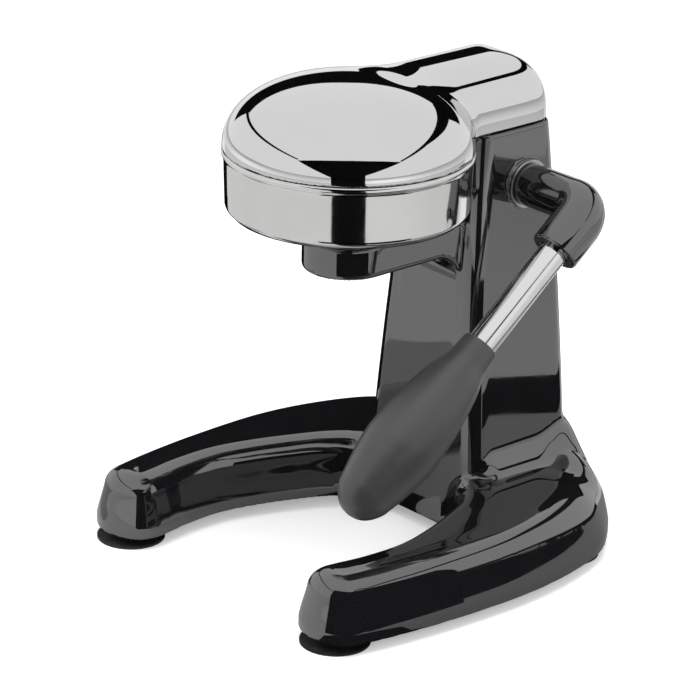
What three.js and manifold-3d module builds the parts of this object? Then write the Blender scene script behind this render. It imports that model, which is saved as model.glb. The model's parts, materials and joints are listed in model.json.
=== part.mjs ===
// Lever citrus juice press: a hand press whose lever turns a pinion, which drives a rack and the head.
// Units are millimetres and +Z is up. The open arch of the base faces -Y, the lever is on the +X side.
// Everything is drawn about the bowl's axis, and the whole press is then moved in Y so that its origin
// lies on the surface that it stands on, under the middle of its length.
import * as THREE from "three";
import { mergeVertices } from "three/addons/utils/BufferGeometryUtils.js";
import Module from "manifold-3d";

const wasm = await Module();
wasm.setup();

// Values that the whole press shares
const rimHeight = 203.2;
const castingBottom = 5.2;
const wall = 3;
const gap = 0.3;
const runningGap = 0.4;
const overrun = 5;

// Base: a horseshoe with an open arch, given by its lower edge
const baseHalfWidth = 102.3;
const baseRear = 127;
const baseFront = 82.8;
const legWidth = 42.8;
const archApex = 50.5;
const archOutlineShares = [
  [0, 1], [0.232, 0.981], [0.47, 0.86], [0.687, 0.605], [0.83, 0.244],
  [0.93, -0.057], [1, -0.288], [0.988, -0.565],
];
const legInsetShares = [
  [1.068, -0.72], [1.0875, -0.83], [1.006, -0.936], [0.755, -1], [0.502, -0.997], [0.256, -0.922],
  [0.1745, -0.78], [0.0837, -0.482], [0.0335, -0.217],
];
const rearOutlineShares = [
  [1, 0.118], [0.992, 0.276], [0.963, 0.449], [0.916, 0.6], [0.868, 0.697], [0.8, 0.776],
  [0.645, 0.898], [0.39, 0.972], [0, 1],
];
const stepsPerOutlinePoint = 2;
const legHeight = 35;
const rearLegHeight = 34.5;
const legDraft = 3.8;
const legEdgeRadius = 8.5;
const rearEdgeRadius = 13;
const rearStart = 20;
const lowerEdgeRadius = 1.2;
const lowerEdgeShare = 0.3;
const edgeSteps = 3;

// Column: a tapered rounded rectangle that flares into the base
const columnTopGap = 0.5;
const columnHalfWidth = 26.9;
const columnFront = 59.5;
const columnRear = 107.3;
const sideTaperShare = 0.075;
const frontDraw = 11;
const rearDraw = 8;
const drawDepth = 220;
const columnLevels = 5;
const columnCorner = 9.5;
const cornerSteps = 5;
const coveRadius = 13;
const rearCoveRadius = 8;
const heelStart = -20;
const heelRise = 12;
const riseStart = 88;
const riseEnd = 118;
const heelRun = 23;
const heelRoundness = 2;
const heelFullness = 1.75;
const heelEdgeShares = [0.015, 0.08, 0.2, 0.36, 0.6];
const heelCoveShares = [0.62, 0.36, 0.2, 0.1, 0.04, 0.01];
const heelSunk = 6;
const deckThickness = 7;

// Arm that carries the bowl, and the arch under it
const armHalfWidth = 21;
const armDrop = 43.2;
const armThickness = 15.5;
const armEdgeRadius = 2.6;
const armArchRadius = 15;
const armSteps = 20;

// Bowl: drawn steel with a rolled bead, a funnel bottom and an outlet
const bowlRadius = 57.9;
const bowlLowerRadius = 57.2;
const bandHeight = 29.6;
const sheet = 1.2;
const beadHeight = 3.4;
const beadStand = 1.2;
const bowlTurn = 2.4;
const outletRadius = 11;
const outletDrop = 12;
const bowlSeatRadius = 18.5;
const bowlSegments = 48;

// Strainer plate and reaming cone in the bowl
const strainerSheet = 1;
const strainerRadius = 47;
const strainerDepth = 8;
const strainerHub = 9;
const strainerSlots = 28;
const slotWidth = 2.2;
const slotInner = 35.5;
const slotOuter = 43.5;
const coneRadius = 33;
const coneSkirt = 4;
const coneHeight = 34;
const coneWall = 3;
const coneRibs = 10;
const coneRibDepth = 3.2;
const coneSharpnessShare = 1.7;
const stepsPerRib = 4;
const coneLevels = 8;
const tipShare = 0.998;
const coneSpigotDrop = 2;
const coneSpigotWall = 2;
const fullTurn = 360;

// Head: dome, neck and cap in one chromed casting
const domeRadius = 58.7;
const domeHeight = 33;
const domeFullness = 2.25;
const capHalfWidth = 26.9;
const capHeight = 32;
const capFullness = 2.6;
const capRear = 107.3;
const capCorner = 12;
const capRearFall = 27;
const capRearFullness = 2.5;
const capFrontRun = 24;
const headEndLand = 0.1;
const halvings = 40;
const headBlend = 5;
const headWall = 2.6;
const headStations = 24;
const sectionSteps = 20;
const domeBossRadius = 8;

// Press cup under the dome and its screw
const cupRadius = 43;
const cupDrop = 4;
const cupTop = 25;
const cupWall = 2.6;
const cupFullness = 2.2;
const cupFlutes = 16;
const cupFluteDepth = 0.8;
const cupLevels = 6;
const stepsPerFlute = 2;
const cupScrewHead = 5;
const cupScrewHeadHeight = 3;
const cupScrewLength = 6.5;

// Rack, pinion and lever shaft
const toothModule = 2;
const pinionTeeth = 13;
const pressureAngle = THREE.MathUtils.degToRad(20);
const backlash = 0.3;
const rackAddendumShare = 0.8;
const pinionAddendumShare = 1;
const dedendumShare = 1.2;
const flankSteps = 4;
const rackWidth = 16;
const rackBack = 3.3;
const rackTeeth = 9;
const rackTeethAbove = 2;
const rackTail = 6;
const rackHeadLength = 24;
const rackBossLift = 2;
const rackBossWidth = 22;
const rackBossDepth = 13;
const rackScrewLength = 13;
const rackScrewHead = 4.2;
const rackScrewHeadHeight = 2.6;
const rackScrewLow = 8;
const rackScrewPitch = 10;
const guideWall = 2.4;
const guideLength = 13;
const shaftDrop = 27.9;
const shaftY = 86.6;
const shaftRadius = 6.5;
const bushWall = 2.2;
const bushFlange = 1.5;
const bushFlangeStand = 1.8;
const shaftBossRadius = 12.6;
const padRadius = 12;
const padStand = 1;
const pinRadius = 1.5;
const washerRadius = 11.8;
const washerThickness = 1.2;
const shaftSet = 3;
const capCoverHeight = 2;
const capPlugLength = 2;
const capPlugWall = 1.6;
const roundSegments = 24;
const fineness = 0.0001;

// Screws
const screwRadius = 2.5;
const screwEdge = 0.5;
const screwSocketRadius = 1.7;
const screwSocketDepth = 1.6;
const screwSocketSides = 6;
const screwSegments = 12;

// Lever: elbow, rod and grip, drawn with the rod along -Y before the lever is turned down
const leverAngle = THREE.MathUtils.degToRad(38.5);
const leverReach = 71.6;
const elbowRadius = 10.4;
const elbowBend = 11.2;
const socketRadius = 11.9;
const socketLength = 28.5;
const socketEdge = 1;
const elbowSegments = 24;
const bendSteps = 6;
const shaftEngagement = 22;
const rodRadius = 7;
const rodInset = 9.5;
const gripStart = 85.5;
const gripLength = 101;
const gripNeckRadius = 9.1;
const gripSwellShares = [
  [0, 0.967], [0.01, 1], [0.064, 1.045], [0.114, 1.12], [0.223, 1.49], [0.411, 1.85], [0.589, 1.99],
  [0.688, 1.91], [0.772, 1.75], [0.86, 1.53], [0.906, 1.385], [0.955, 1.03], [0.985, 0.6], [1, 0],
];
const gripBoreLength = 58;
const setScrewPlace = 14;
const setScrewSink = 0.4;
const stepsPerGripPoint = 1;

// Feet: flared rubber suction feet held by screws
const frontFootInset = 27.5;
const frontFootY = -68.5;
const rearFootInset = 32.3;
const rearFootY = 82;
const footRadius = 16.4;
const footRimHeight = 1.5;
const footNeckRadius = 9;
const footNeckHeight = 5.2;
const footHeight = 8.6;
const footRingWidth = 3;
const footHollow = 1.4;
const footScrewHead = 4.6;
const footScrewHeadHeight = 2.6;
const footScrewSeat = 4.2;
const footScrewLength = 20;
const footBossRadius = 8.6;

// Sizes that follow from the ones above
const archHalfWidth = baseHalfWidth - legWidth;
const frontFootX = baseHalfWidth - frontFootInset;
const rearFootX = baseHalfWidth - rearFootInset;
const armTop = rimHeight - armDrop;
const armBottom = armTop - armThickness;
const shaftHeight = rimHeight - shaftDrop;
const bowlBottom = rimHeight - bandHeight;
const columnTop = rimHeight - columnTopGap;
const pitchRadius = (toothModule * pinionTeeth) / 2;
const rackPitchY = shaftY - pitchRadius;
const rackFront = rackPitchY - dedendumShare * toothModule - rackBack;
const rackTipY = rackPitchY + rackAddendumShare * toothModule;
const padFace = columnHalfWidth + sideTaperShare * (rimHeight - shaftHeight) + padStand;
const washerFace = padFace + gap + washerThickness;
const elbowStart = washerFace + gap;
const shaftEnd = elbowStart + shaftEngagement;
const bushStart = rackWidth / 2 + runningGap;
const bushEnd = padFace - shaftSet;
const bushRadius = shaftRadius + gap + bushWall;
const pinHalfLength = pitchRadius - dedendumShare * toothModule - gap;
const guideHalfWidth = rackWidth / 2 + gap + guideWall;
const guideFront = rackFront - gap - guideWall;
const guideRear = rackTipY + gap + guideWall;
const guideBottom = columnTop - guideLength;
const bowlFloor = armTop + gap;
const bowlTop = rimHeight - gap / 2;
const funnelSlope = (bowlBottom - bowlFloor) / (bowlLowerRadius - bowlTurn - bowlSeatRadius);
const funnelRise = (strainerRadius - bowlSeatRadius) * funnelSlope + sheet * Math.hypot(1, funnelSlope);
const strainerTop = bowlFloor + funnelRise + gap + strainerDepth;
const coneBase = strainerTop + gap;
const headBottom = rimHeight + gap / 2;
const cupScrewSeat = headBottom + cupTop - cupWall - gap;
const rackScrews = [headBottom + rackScrewLow, headBottom + rackScrewLow + rackScrewPitch];

// Shapes and solids

function tidyGeometry(geometry) {
  const bare = geometry.clone();
  for (const name of Object.keys(bare.attributes)) {
    if (name !== "position") bare.deleteAttribute(name);
  }
  const merged = mergeVertices(bare, fineness);
  const index = [];
  const source = merged.index.array;
  for (let i = 0; i < source.length; i += 3) {
    const [a, b, c] = [source[i], source[i + 1], source[i + 2]];
    if (a !== b && b !== c && c !== a) index.push(a, b, c);
  }
  merged.setIndex(index);
  return merged;
}

function signedVolume(positions, index) {
  const [a, b, c] = [new THREE.Vector3(), new THREE.Vector3(), new THREE.Vector3()];
  let sum = 0;
  for (let i = 0; i < index.length; i += 3) {
    a.fromArray(positions, index[i] * 3);
    b.fromArray(positions, index[i + 1] * 3);
    c.fromArray(positions, index[i + 2] * 3);
    sum += a.dot(b.cross(c));
  }
  return sum;
}

function solid(geometry, matrix) {
  const merged = tidyGeometry(matrix ? geometry.clone().applyMatrix4(matrix) : geometry);
  const positions = merged.attributes.position.array;
  const index = Array.from(merged.index.array);
  if (signedVolume(positions, index) < 0) index.reverse();
  const mesh = new wasm.Mesh({
    numProp: 3,
    vertProperties: new Float32Array(positions),
    triVerts: new Uint32Array(index),
  });
  mesh.merge();
  return new wasm.Manifold(mesh);
}

function geometryOf(body) {
  const { vertProperties, triVerts, numProp } = body.getMesh();
  const positions = new Float32Array((vertProperties.length / numProp) * 3);
  for (let i = 0; i < positions.length / 3; i += 1) {
    for (let k = 0; k < 3; k += 1) positions[i * 3 + k] = vertProperties[i * numProp + k];
  }
  const geometry = new THREE.BufferGeometry();
  geometry.setAttribute("position", new THREE.BufferAttribute(positions, 3));
  geometry.setIndex(new THREE.BufferAttribute(new Uint32Array(triVerts), 1));
  geometry.computeVertexNormals();
  return geometry;
}

function join(first, ...others) {
  return others.reduce((sum, body) => sum.add(body), first);
}

function cut(first, ...others) {
  return others.reduce((rest, body) => rest.subtract(body), first);
}

// The points of a flat ring in its own plane, where it runs counterclockwise
function flattened(ring) {
  const normal = new THREE.Vector3();
  ring.forEach((point, i) => normal.add(point.clone().cross(ring[(i + 1) % ring.length])));
  const turn = new THREE.Quaternion().setFromUnitVectors(normal.normalize(), new THREE.Vector3(0, 0, 1));
  return ring.map((point) => point.clone().applyQuaternion(turn)).map(({ x, y }) => new THREE.Vector2(x, y));
}

// A closed skin through flat rings of equal length
function loft(rings) {
  const count = rings[0].length;
  const positions = rings.flat().flatMap((point) => [point.x, point.y, point.z]);
  const index = [];
  for (let k = 0; k + 1 < rings.length; k += 1) {
    for (let i = 0; i < count; i += 1) {
      const a = k * count + i;
      const b = k * count + ((i + 1) % count);
      index.push(a, b, b + count, a, b + count, a + count);
    }
  }
  const lid = (ring, start, facing) => {
    const flat = flattened(ring);
    const triangles = THREE.ShapeUtils.triangulateShape(flat, []);
    const areas = triangles.map((corners) => THREE.ShapeUtils.area(corners.map((k) => flat[k])));
    const turn = areas.reduce((sum, area) => sum + area) * facing;
    for (const [a, b, c] of triangles) {
      const corners = turn > 0 ? [a, b, c] : [a, c, b];
      index.push(...corners.map((k) => start + k));
    }
  };
  lid(rings[0], 0, -1);
  lid(rings[rings.length - 1], (rings.length - 1) * count, 1);
  const geometry = new THREE.BufferGeometry();
  geometry.setAttribute("position", new THREE.Float32BufferAttribute(positions, 3));
  geometry.setIndex(index);
  return geometry;
}

const axisTurns = {
  x: new THREE.Matrix4().makeRotationZ(-Math.PI / 2),
  y: new THREE.Matrix4(),
  z: new THREE.Matrix4().makeRotationX(Math.PI / 2),
};

// A turned solid from a closed profile of [radius, place along the axis]
function turned(profile, axis = "z", segments = roundSegments) {
  const points = profile.map(([radius, place]) => new THREE.Vector2(radius, place));
  if (profile[0][0] !== 0) points.push(points[0].clone());
  return solid(new THREE.LatheGeometry(points, segments), axisTurns[axis]);
}

// A plain round bar between two places on an axis
function bar(radius, from, to, axis = "z", segments = roundSegments) {
  return turned([[0, from], [radius, from], [radius, to], [0, to]], axis, segments);
}

function tube(outer, inner, from, to, axis = "z", segments = roundSegments) {
  return turned([[inner, from], [outer, from], [outer, to], [inner, to]], axis, segments);
}

function block(fromX, toX, fromY, toY, fromZ, toZ) {
  const box = new THREE.BoxGeometry(toX - fromX, toY - fromY, toZ - fromZ);
  box.translate((fromX + toX) / 2, (fromY + toY) / 2, (fromZ + toZ) / 2);
  return solid(box);
}

function moved(body, x, y, z) {
  return body.translate([x, y, z]);
}

function onShaft(body) {
  return moved(body, 0, shaftY, shaftHeight);
}

// A shape drawn in Y and Z, given a width along +X
function sideways(shape, width) {
  const geometry = new THREE.ExtrudeGeometry(shape, {
    depth: width, bevelEnabled: false, curveSegments: edgeSteps * 2,
  });
  return solid(geometry, new THREE.Matrix4().makeBasis(
    new THREE.Vector3(0, 1, 0), new THREE.Vector3(0, 0, 1), new THREE.Vector3(1, 0, 0),
  ));
}

// Materials

function material(name, color, roughness, metalness) {
  return new THREE.MeshStandardMaterial({ name, color, roughness, metalness });
}

const blackEnamel = () => material("black_enamel", 0x0b0b0c, 0.12, 0);
const chrome = () => material("chrome", 0xd9dadb, 0.06, 1);
const polishedSteel = () => material("polished_steel", 0xc4c3c0, 0.16, 1);
const brightSteel = () => material("bright_steel", 0xb9b9b8, 0.22, 1);
const machinedSteel = () => material("machined_steel", 0x8f9194, 0.38, 1);
const bronze = () => material("bronze", 0x9a6f3c, 0.4, 1);
const softGrip = () => material("soft_grip", 0x2b2c2e, 0.55, 0);
const rubber = () => material("rubber", 0x141415, 0.8, 0);

const press = new THREE.Group();

function place(parent, name, body, finish, x = 0, y = 0, z = 0) {
  const mesh = new THREE.Mesh(geometryOf(body), finish);
  mesh.name = name;
  mesh.position.set(x, y, z);
  parent.add(mesh);
  return mesh;
}

// Stand: base, column and arm in one hollow casting

function smoothShare(from, to, value) {
  return THREE.MathUtils.smoothstep(value, from, to);
}

function baseOutline() {
  const onArch = archOutlineShares.map(([x, y]) => [x * archHalfWidth, y * (y < 0 ? baseFront : archApex)]);
  const onLeg = legInsetShares.map(([x, y]) => [baseHalfWidth - x * legWidth, y * baseFront]);
  const onRear = rearOutlineShares.map(([x, y]) => [x * baseHalfWidth, y * baseRear]);
  const right = [...onArch, ...onLeg, ...onRear];
  const left = right.slice(1, -1).reverse().map(([x, y]) => [-x, y]);
  const points = [...right, ...left].map(([x, y]) => new THREE.Vector3(x, y, 0));
  const curve = new THREE.CatmullRomCurve3(points, true, "centripetal");
  return curve.getPoints(points.length * stepsPerOutlinePoint).slice(0, -1);
}

const outline = baseOutline();
const outlineInward = outline.map((point, i) => {
  const before = outline[(i + outline.length - 1) % outline.length];
  const after = outline[(i + 1) % outline.length];
  return new THREE.Vector3(before.y - after.y, after.x - before.x, 0).normalize();
});

// The outline drawn in by an inset and lifted to a height, both worked out point by point
function baseRing(insetAt, heightAt) {
  return outline.map((point, i) => {
    const back = smoothShare(rearStart, baseRear, point.y);
    const radius = THREE.MathUtils.lerp(legEdgeRadius, rearEdgeRadius, back);
    const height = THREE.MathUtils.lerp(legHeight, rearLegHeight, back);
    const inset = insetAt(radius, height);
    const place = point.clone().addScaledVector(outlineInward[i], inset);
    place.z = heightAt(radius, height);
    return place;
  });
}

function baseBody() {
  const rings = [
    baseRing(() => lowerEdgeRadius, () => castingBottom),
    baseRing(() => lowerEdgeRadius * lowerEdgeShare, () => castingBottom + lowerEdgeRadius * lowerEdgeShare),
    baseRing(() => 0, () => castingBottom + lowerEdgeRadius),
  ];
  for (let k = 0; k <= edgeSteps; k += 1) {
    const turn = (k / edgeSteps) * (Math.PI / 2);
    rings.push(baseRing(
      (radius) => legDraft + radius * (1 - Math.cos(turn)),
      (radius, height) => height - radius * (1 - Math.sin(turn)),
    ));
  }
  return solid(loft(rings));
}

function baseHollow() {
  const rings = [
    baseRing(() => wall, () => castingBottom - overrun),
    baseRing(() => wall, () => castingBottom),
  ];
  for (const turn of [0, Math.PI / 4, Math.PI / 2]) {
    rings.push(baseRing(
      (radius) => legDraft + radius - (radius - wall) * Math.cos(turn),
      (radius, height) => height - radius + (radius - wall) * Math.sin(turn),
    ));
  }
  return solid(loft(rings));
}

function roundedRectangle(halfWidth, front, rear, corner, z) {
  const centres = [
    [halfWidth - corner, front + corner, -Math.PI / 2],
    [halfWidth - corner, rear - corner, 0],
    [corner - halfWidth, rear - corner, Math.PI / 2],
    [corner - halfWidth, front + corner, Math.PI],
  ];
  return centres.flatMap(([x, y, start]) => {
    const points = [];
    for (let i = 0; i <= cornerSteps; i += 1) {
      const turn = start + (i / cornerSteps) * (Math.PI / 2);
      points.push(new THREE.Vector3(x + corner * Math.cos(turn), y + corner * Math.sin(turn), z));
    }
    return points;
  });
}

// How far the column has spread to its front and rear at a height: quickly at first, then hardly at all
function drawShare(z) {
  return 1 - (1 - Math.min((rimHeight - z) / drawDepth, 1)) ** 2;
}

// Half-width, front and rear of the column at a height
function columnSection(z) {
  const draw = drawShare(z);
  const halfWidth = columnHalfWidth + sideTaperShare * (rimHeight - z);
  return [halfWidth, columnFront - frontDraw * draw, columnRear + rearDraw * draw];
}

function columnRing(z, inset) {
  const [halfWidth, front, rear] = columnSection(z);
  return roundedRectangle(halfWidth - inset, front + inset, rear - inset, columnCorner - inset, z);
}

// Heights of the column's rings, from its lower end to its upper one
function columnHeights(bottom, top) {
  const count = columnLevels + 1;
  return Array.from({ length: count }, (_, k) => THREE.MathUtils.lerp(bottom, top, k / columnLevels));
}

function columnBody() {
  const rings = columnHeights(castingBottom, columnTop - lowerEdgeRadius).map((z) => columnRing(z, 0));
  rings.push(columnRing(columnTop, lowerEdgeRadius * lowerEdgeShare));
  return solid(loft(rings));
}

function columnHollow() {
  const heights = columnHeights(castingBottom - overrun, columnTop - deckThickness);
  return solid(loft(heights.map((z) => columnRing(z, wall))));
}

// Height of the heel: a rounded shoulder that rises behind the column, and the cove round the column's foot.
// The edge is the distance in from the outline, and the run is the shoulder's width.
function heelHeightAt(y, edge, run, fromColumn) {
  const rear = smoothShare(riseStart, riseEnd, y);
  const top = legHeight + heelRise * rear;
  const out = 1 - THREE.MathUtils.clamp(edge / run, 0, 1);
  const shoulder = (1 - out ** heelRoundness) ** (1 / heelFullness);
  const radius = THREE.MathUtils.lerp(coveRadius, rearCoveRadius, rear);
  const hollow = radius - THREE.MathUtils.clamp(fromColumn, 0, radius);
  const cove = radius - Math.sqrt(radius * radius - hollow * hollow);
  return THREE.MathUtils.lerp(castingBottom, top, shoulder) + cove;
}

// Points of the heel's skin from a point of the outline in to the column
function heelRay(point, inset) {
  const [halfWidth, front, rear] = columnSection(legHeight);
  const core = new THREE.Vector3(
    THREE.MathUtils.clamp(point.x, columnCorner - halfWidth, halfWidth - columnCorner),
    THREE.MathUtils.clamp(point.y, front + columnCorner, rear - columnCorner), 0,
  );
  const ray = core.sub(point);
  const length = ray.length() - columnCorner;
  ray.normalize();
  const run = Math.min(length, heelRun);
  const inner = length - heelEdgeShares[heelEdgeShares.length - 1] * run;
  const places = [
    ...heelEdgeShares.map((share) => share * run),
    ...heelCoveShares.map((share) => length - share * inner),
    length + heelSunk,
  ];
  return places.map((place) => {
    const at = point.clone().addScaledVector(ray, place);
    return at.setZ(heelHeightAt(at.y, place - inset, run, length - place + inset) - inset);
  });
}

// The heel's skin as a closed body that reaches down to a level
function heelBody(inset, level) {
  const rays = outline
    .filter(({ x, y }) => y > heelStart && (Math.abs(x) > archHalfWidth || y > archApex + wall))
    .map((point) => heelRay(point, inset));
  return solid(loft(rays.reverse().map((ray) => {
    const below = ray.map((point) => point.clone().setZ(level));
    return [...ray, ...below.reverse()];
  })));
}

function armBody() {
  const ring = (z, inset) => {
    const radius = armHalfWidth - inset;
    const points = [];
    for (let i = 0; i <= armSteps; i += 1) {
      const turn = Math.PI * (1 + i / armSteps);
      points.push(new THREE.Vector3(radius * Math.cos(turn), radius * Math.sin(turn), z));
    }
    points.push(new THREE.Vector3(radius, columnFront + wall, z));
    points.push(new THREE.Vector3(-radius, columnFront + wall, z));
    return points;
  };
  const rings = [];
  for (let k = 0; k <= edgeSteps; k += 1) {
    const turn = (k / edgeSteps) * (Math.PI / 2);
    rings.push(ring(armBottom + armEdgeRadius * (1 - Math.cos(turn)), armEdgeRadius * (1 - Math.sin(turn))));
  }
  rings.push(ring(armTop - lowerEdgeRadius, 0), ring(armTop, lowerEdgeRadius));
  return solid(loft(rings));
}

// The round arch that carries the arm's underside down into the column's front
function armArchBody() {
  const front = columnFront - frontDraw * drawShare(armBottom - armArchRadius);
  const end = columnFront + wall;
  const shape = new THREE.Shape();
  shape.moveTo(front - armArchRadius, armBottom);
  shape.absarc(front - armArchRadius, armBottom - armArchRadius, armArchRadius, Math.PI / 2, 0, true);
  shape.lineTo(end, armBottom - armArchRadius);
  shape.lineTo(end, armBottom + armEdgeRadius);
  shape.lineTo(front - armArchRadius, armBottom + armEdgeRadius);
  const depth = (armHalfWidth - armEdgeRadius) * 2;
  return moved(sideways(shape, depth), -depth / 2, 0, 0);
}

const feet = [
  ["front_left", -frontFootX, frontFootY], ["front_right", frontFootX, frontFootY],
  ["rear_left", -rearFootX, rearFootY], ["rear_right", rearFootX, rearFootY],
];

// A body for each foot, worked out once and moved to all four
function atFeet(body) {
  return feet.map(([, x, y]) => moved(body, x, y, 0));
}

function standCasting() {
  const heel = heelBody(0, castingBottom + lowerEdgeRadius);
  const outside = join(baseBody(), columnBody(), heel, armBody(), armArchBody());
  const inside = join(baseHollow(), columnHollow(), heelBody(wall, castingBottom - overrun));
  const bossStart = bushStart + bushFlange + gap;
  const reach = padFace + overrun;
  const bosses = join(
    onShaft(bar(shaftBossRadius, bossStart, reach, "x")),
    onShaft(bar(shaftBossRadius, -reach, -bossStart, "x")),
    ...atFeet(bar(footBossRadius, footHeight + gap, legHeight)),
  ).intersect(outside);
  const pads = onShaft(bar(padRadius, -padFace, padFace, "x")).subtract(columnHollow());
  const guideHole = block(
    -guideHalfWidth - gap, guideHalfWidth + gap, guideFront - gap, guideRear + gap,
    guideBottom - gap, columnTop + overrun,
  );
  const footHole = bar(
    screwRadius + gap, castingBottom, footScrewSeat + footScrewLength + gap, "z", screwSegments,
  );
  return cut(
    join(outside.subtract(inside), bosses, pads),
    onShaft(bar(bushRadius + gap, -reach, reach, "x")),
    guideHole,
    bar(outletRadius + gap, armBottom - overrun, armTop + overrun),
    bar(bowlRadius + gap, bowlBottom - gap, columnTop + overrun, "z", bowlSegments),
    ...atFeet(footHole),
  );
}

place(press, "stand_casting", standCasting(), blackEnamel());

// Rack guide, bushes and the trim of the shaft's bores

function rackGuide() {
  return block(-guideHalfWidth, guideHalfWidth, guideFront, guideRear, guideBottom, columnTop).subtract(block(
    -rackWidth / 2 - gap, rackWidth / 2 + gap, rackFront - gap, rackTipY + gap,
    guideBottom - overrun, columnTop + overrun,
  ));
}

function bush(side) {
  const flangeRadius = bushRadius + bushFlangeStand;
  const profile = [
    [shaftRadius + gap, side * bushStart], [flangeRadius, side * bushStart],
    [flangeRadius, side * (bushStart + bushFlange)], [bushRadius, side * (bushStart + bushFlange)],
    [bushRadius, side * bushEnd], [shaftRadius + gap, side * bushEnd],
  ];
  return onShaft(turned(profile, "x"));
}

function boreCap() {
  const face = -padFace - gap;
  const plugRadius = bushRadius;
  return onShaft(turned([
    [0, face], [plugRadius - capPlugWall, face], [plugRadius - capPlugWall, face + capPlugLength],
    [plugRadius, face + capPlugLength], [plugRadius, face], [padRadius, face],
    [padRadius, face - capCoverHeight + lowerEdgeRadius],
    [padRadius - lowerEdgeRadius, face - capCoverHeight], [0, face - capCoverHeight],
  ], "x"));
}

place(press, "rack_guide", rackGuide(), bronze());
place(press, "bush_left", bush(-1), bronze());
place(press, "bush_right", bush(1), bronze());
place(press, "bore_cap_left", boreCap(), blackEnamel());
place(
  press, "column_washer",
  onShaft(tube(washerRadius, shaftRadius + gap, padFace + gap, padFace + gap + washerThickness, "x")),
  machinedSteel(),
);

// Feet and screws

// The six-sided socket that is sunk into a screw's end at a height
function socket(z) {
  return bar(screwSocketRadius, z - overrun, z + screwSocketDepth, "z", screwSocketSides);
}

// A round-headed screw that points along +Z from the seat of its head
function screw(length, headRadius, headHeight) {
  const body = turned([
    [0, -headHeight], [headRadius - screwEdge, -headHeight], [headRadius, -headHeight + screwEdge],
    [headRadius, 0], [screwRadius, 0], [screwRadius, length - screwEdge], [screwRadius - screwEdge, length],
    [0, length],
  ], "z", screwSegments);
  return body.subtract(socket(-headHeight));
}

function foot() {
  const profile = [
    [screwRadius + gap, footHeight], [footNeckRadius, footHeight], [footNeckRadius, footNeckHeight],
  ];
  for (let k = 1; k <= edgeSteps; k += 1) {
    const turn = (k / edgeSteps) * (Math.PI / 2);
    profile.push([
      footNeckRadius + (footRadius - footNeckRadius) * (1 - Math.cos(turn)),
      footNeckHeight - (footNeckHeight - footRimHeight) * Math.sin(turn),
    ]);
  }
  profile.push(
    [footRadius, 0], [footRadius - footRingWidth, 0],
    [footRadius - footRingWidth - footHollow, footHollow], [footScrewHead + gap, footHollow],
    [footScrewHead + gap, footScrewSeat], [screwRadius + gap, footScrewSeat],
  );
  return turned(profile);
}

for (const [corner, x, y] of feet) {
  place(press, `foot_${corner}`, foot(), rubber(), x, y);
  const footScrew = screw(footScrewLength, footScrewHead, footScrewHeadHeight);
  place(press, `foot_screw_${corner}`, footScrew, machinedSteel(), x, y, footScrewSeat - gap);
}

// Bowl

// A closed profile of a sheet: a line, and the same line drawn off to its left by the sheet's thickness
function sheetProfile(line, thickness) {
  const inner = line.map((point, i) => {
    const normals = [[line[i - 1], point], [point, line[i + 1]]]
      .filter(([from, to]) => from && to)
      .map(([from, to]) => new THREE.Vector2(from[1] - to[1], to[0] - from[0]).normalize());
    const sum = normals[0].clone().add(normals[normals.length - 1]);
    const shift = sum.multiplyScalar((2 * thickness) / sum.lengthSq());
    return [point[0] + shift.x, point[1] + shift.y];
  });
  return [...line, ...inner.reverse()];
}

function juiceBowl() {
  const line = [
    [outletRadius, bowlFloor - outletDrop], [outletRadius, bowlFloor], [bowlSeatRadius, bowlFloor],
  ];
  for (let k = 0; k <= edgeSteps; k += 1) {
    const turn = (k / edgeSteps) * (Math.PI / 2);
    line.push([
      bowlLowerRadius - bowlTurn * (1 - Math.sin(turn)),
      bowlBottom + bowlTurn * (1 - Math.cos(turn)),
    ]);
  }
  line.push([bowlRadius, bowlTop - beadHeight / 2], [bowlRadius, bowlTop]);
  const bead = [[bowlRadius - sheet / 2, bowlTop]];
  for (let k = 0; k <= edgeSteps; k += 1) {
    const turn = (k / edgeSteps) * Math.PI;
    bead.push([bowlRadius + beadStand * Math.sin(turn), bowlTop - (beadHeight / 2) * (1 - Math.cos(turn))]);
  }
  bead.push([bowlRadius - sheet / 2, bowlTop - beadHeight]);
  return turned(sheetProfile(line, sheet), "z", bowlSegments).add(turned(bead, "z", bowlSegments));
}

// Strainer with radial slots, and the fluted reaming cone that stands in its middle

function strainer() {
  const plate = turned(sheetProfile([
    [strainerRadius, strainerTop - strainerDepth], [strainerRadius, strainerTop], [strainerHub, strainerTop],
  ], strainerSheet), "z", bowlSegments);
  const slot = block(
    slotInner, slotOuter, -slotWidth / 2, slotWidth / 2,
    strainerTop - strainerSheet - overrun, strainerTop + overrun,
  );
  const slots = [];
  for (let i = 0; i < strainerSlots; i += 1) slots.push(slot.rotate([0, 0, (i / strainerSlots) * fullTurn]));
  return cut(plate, ...slots);
}

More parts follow.
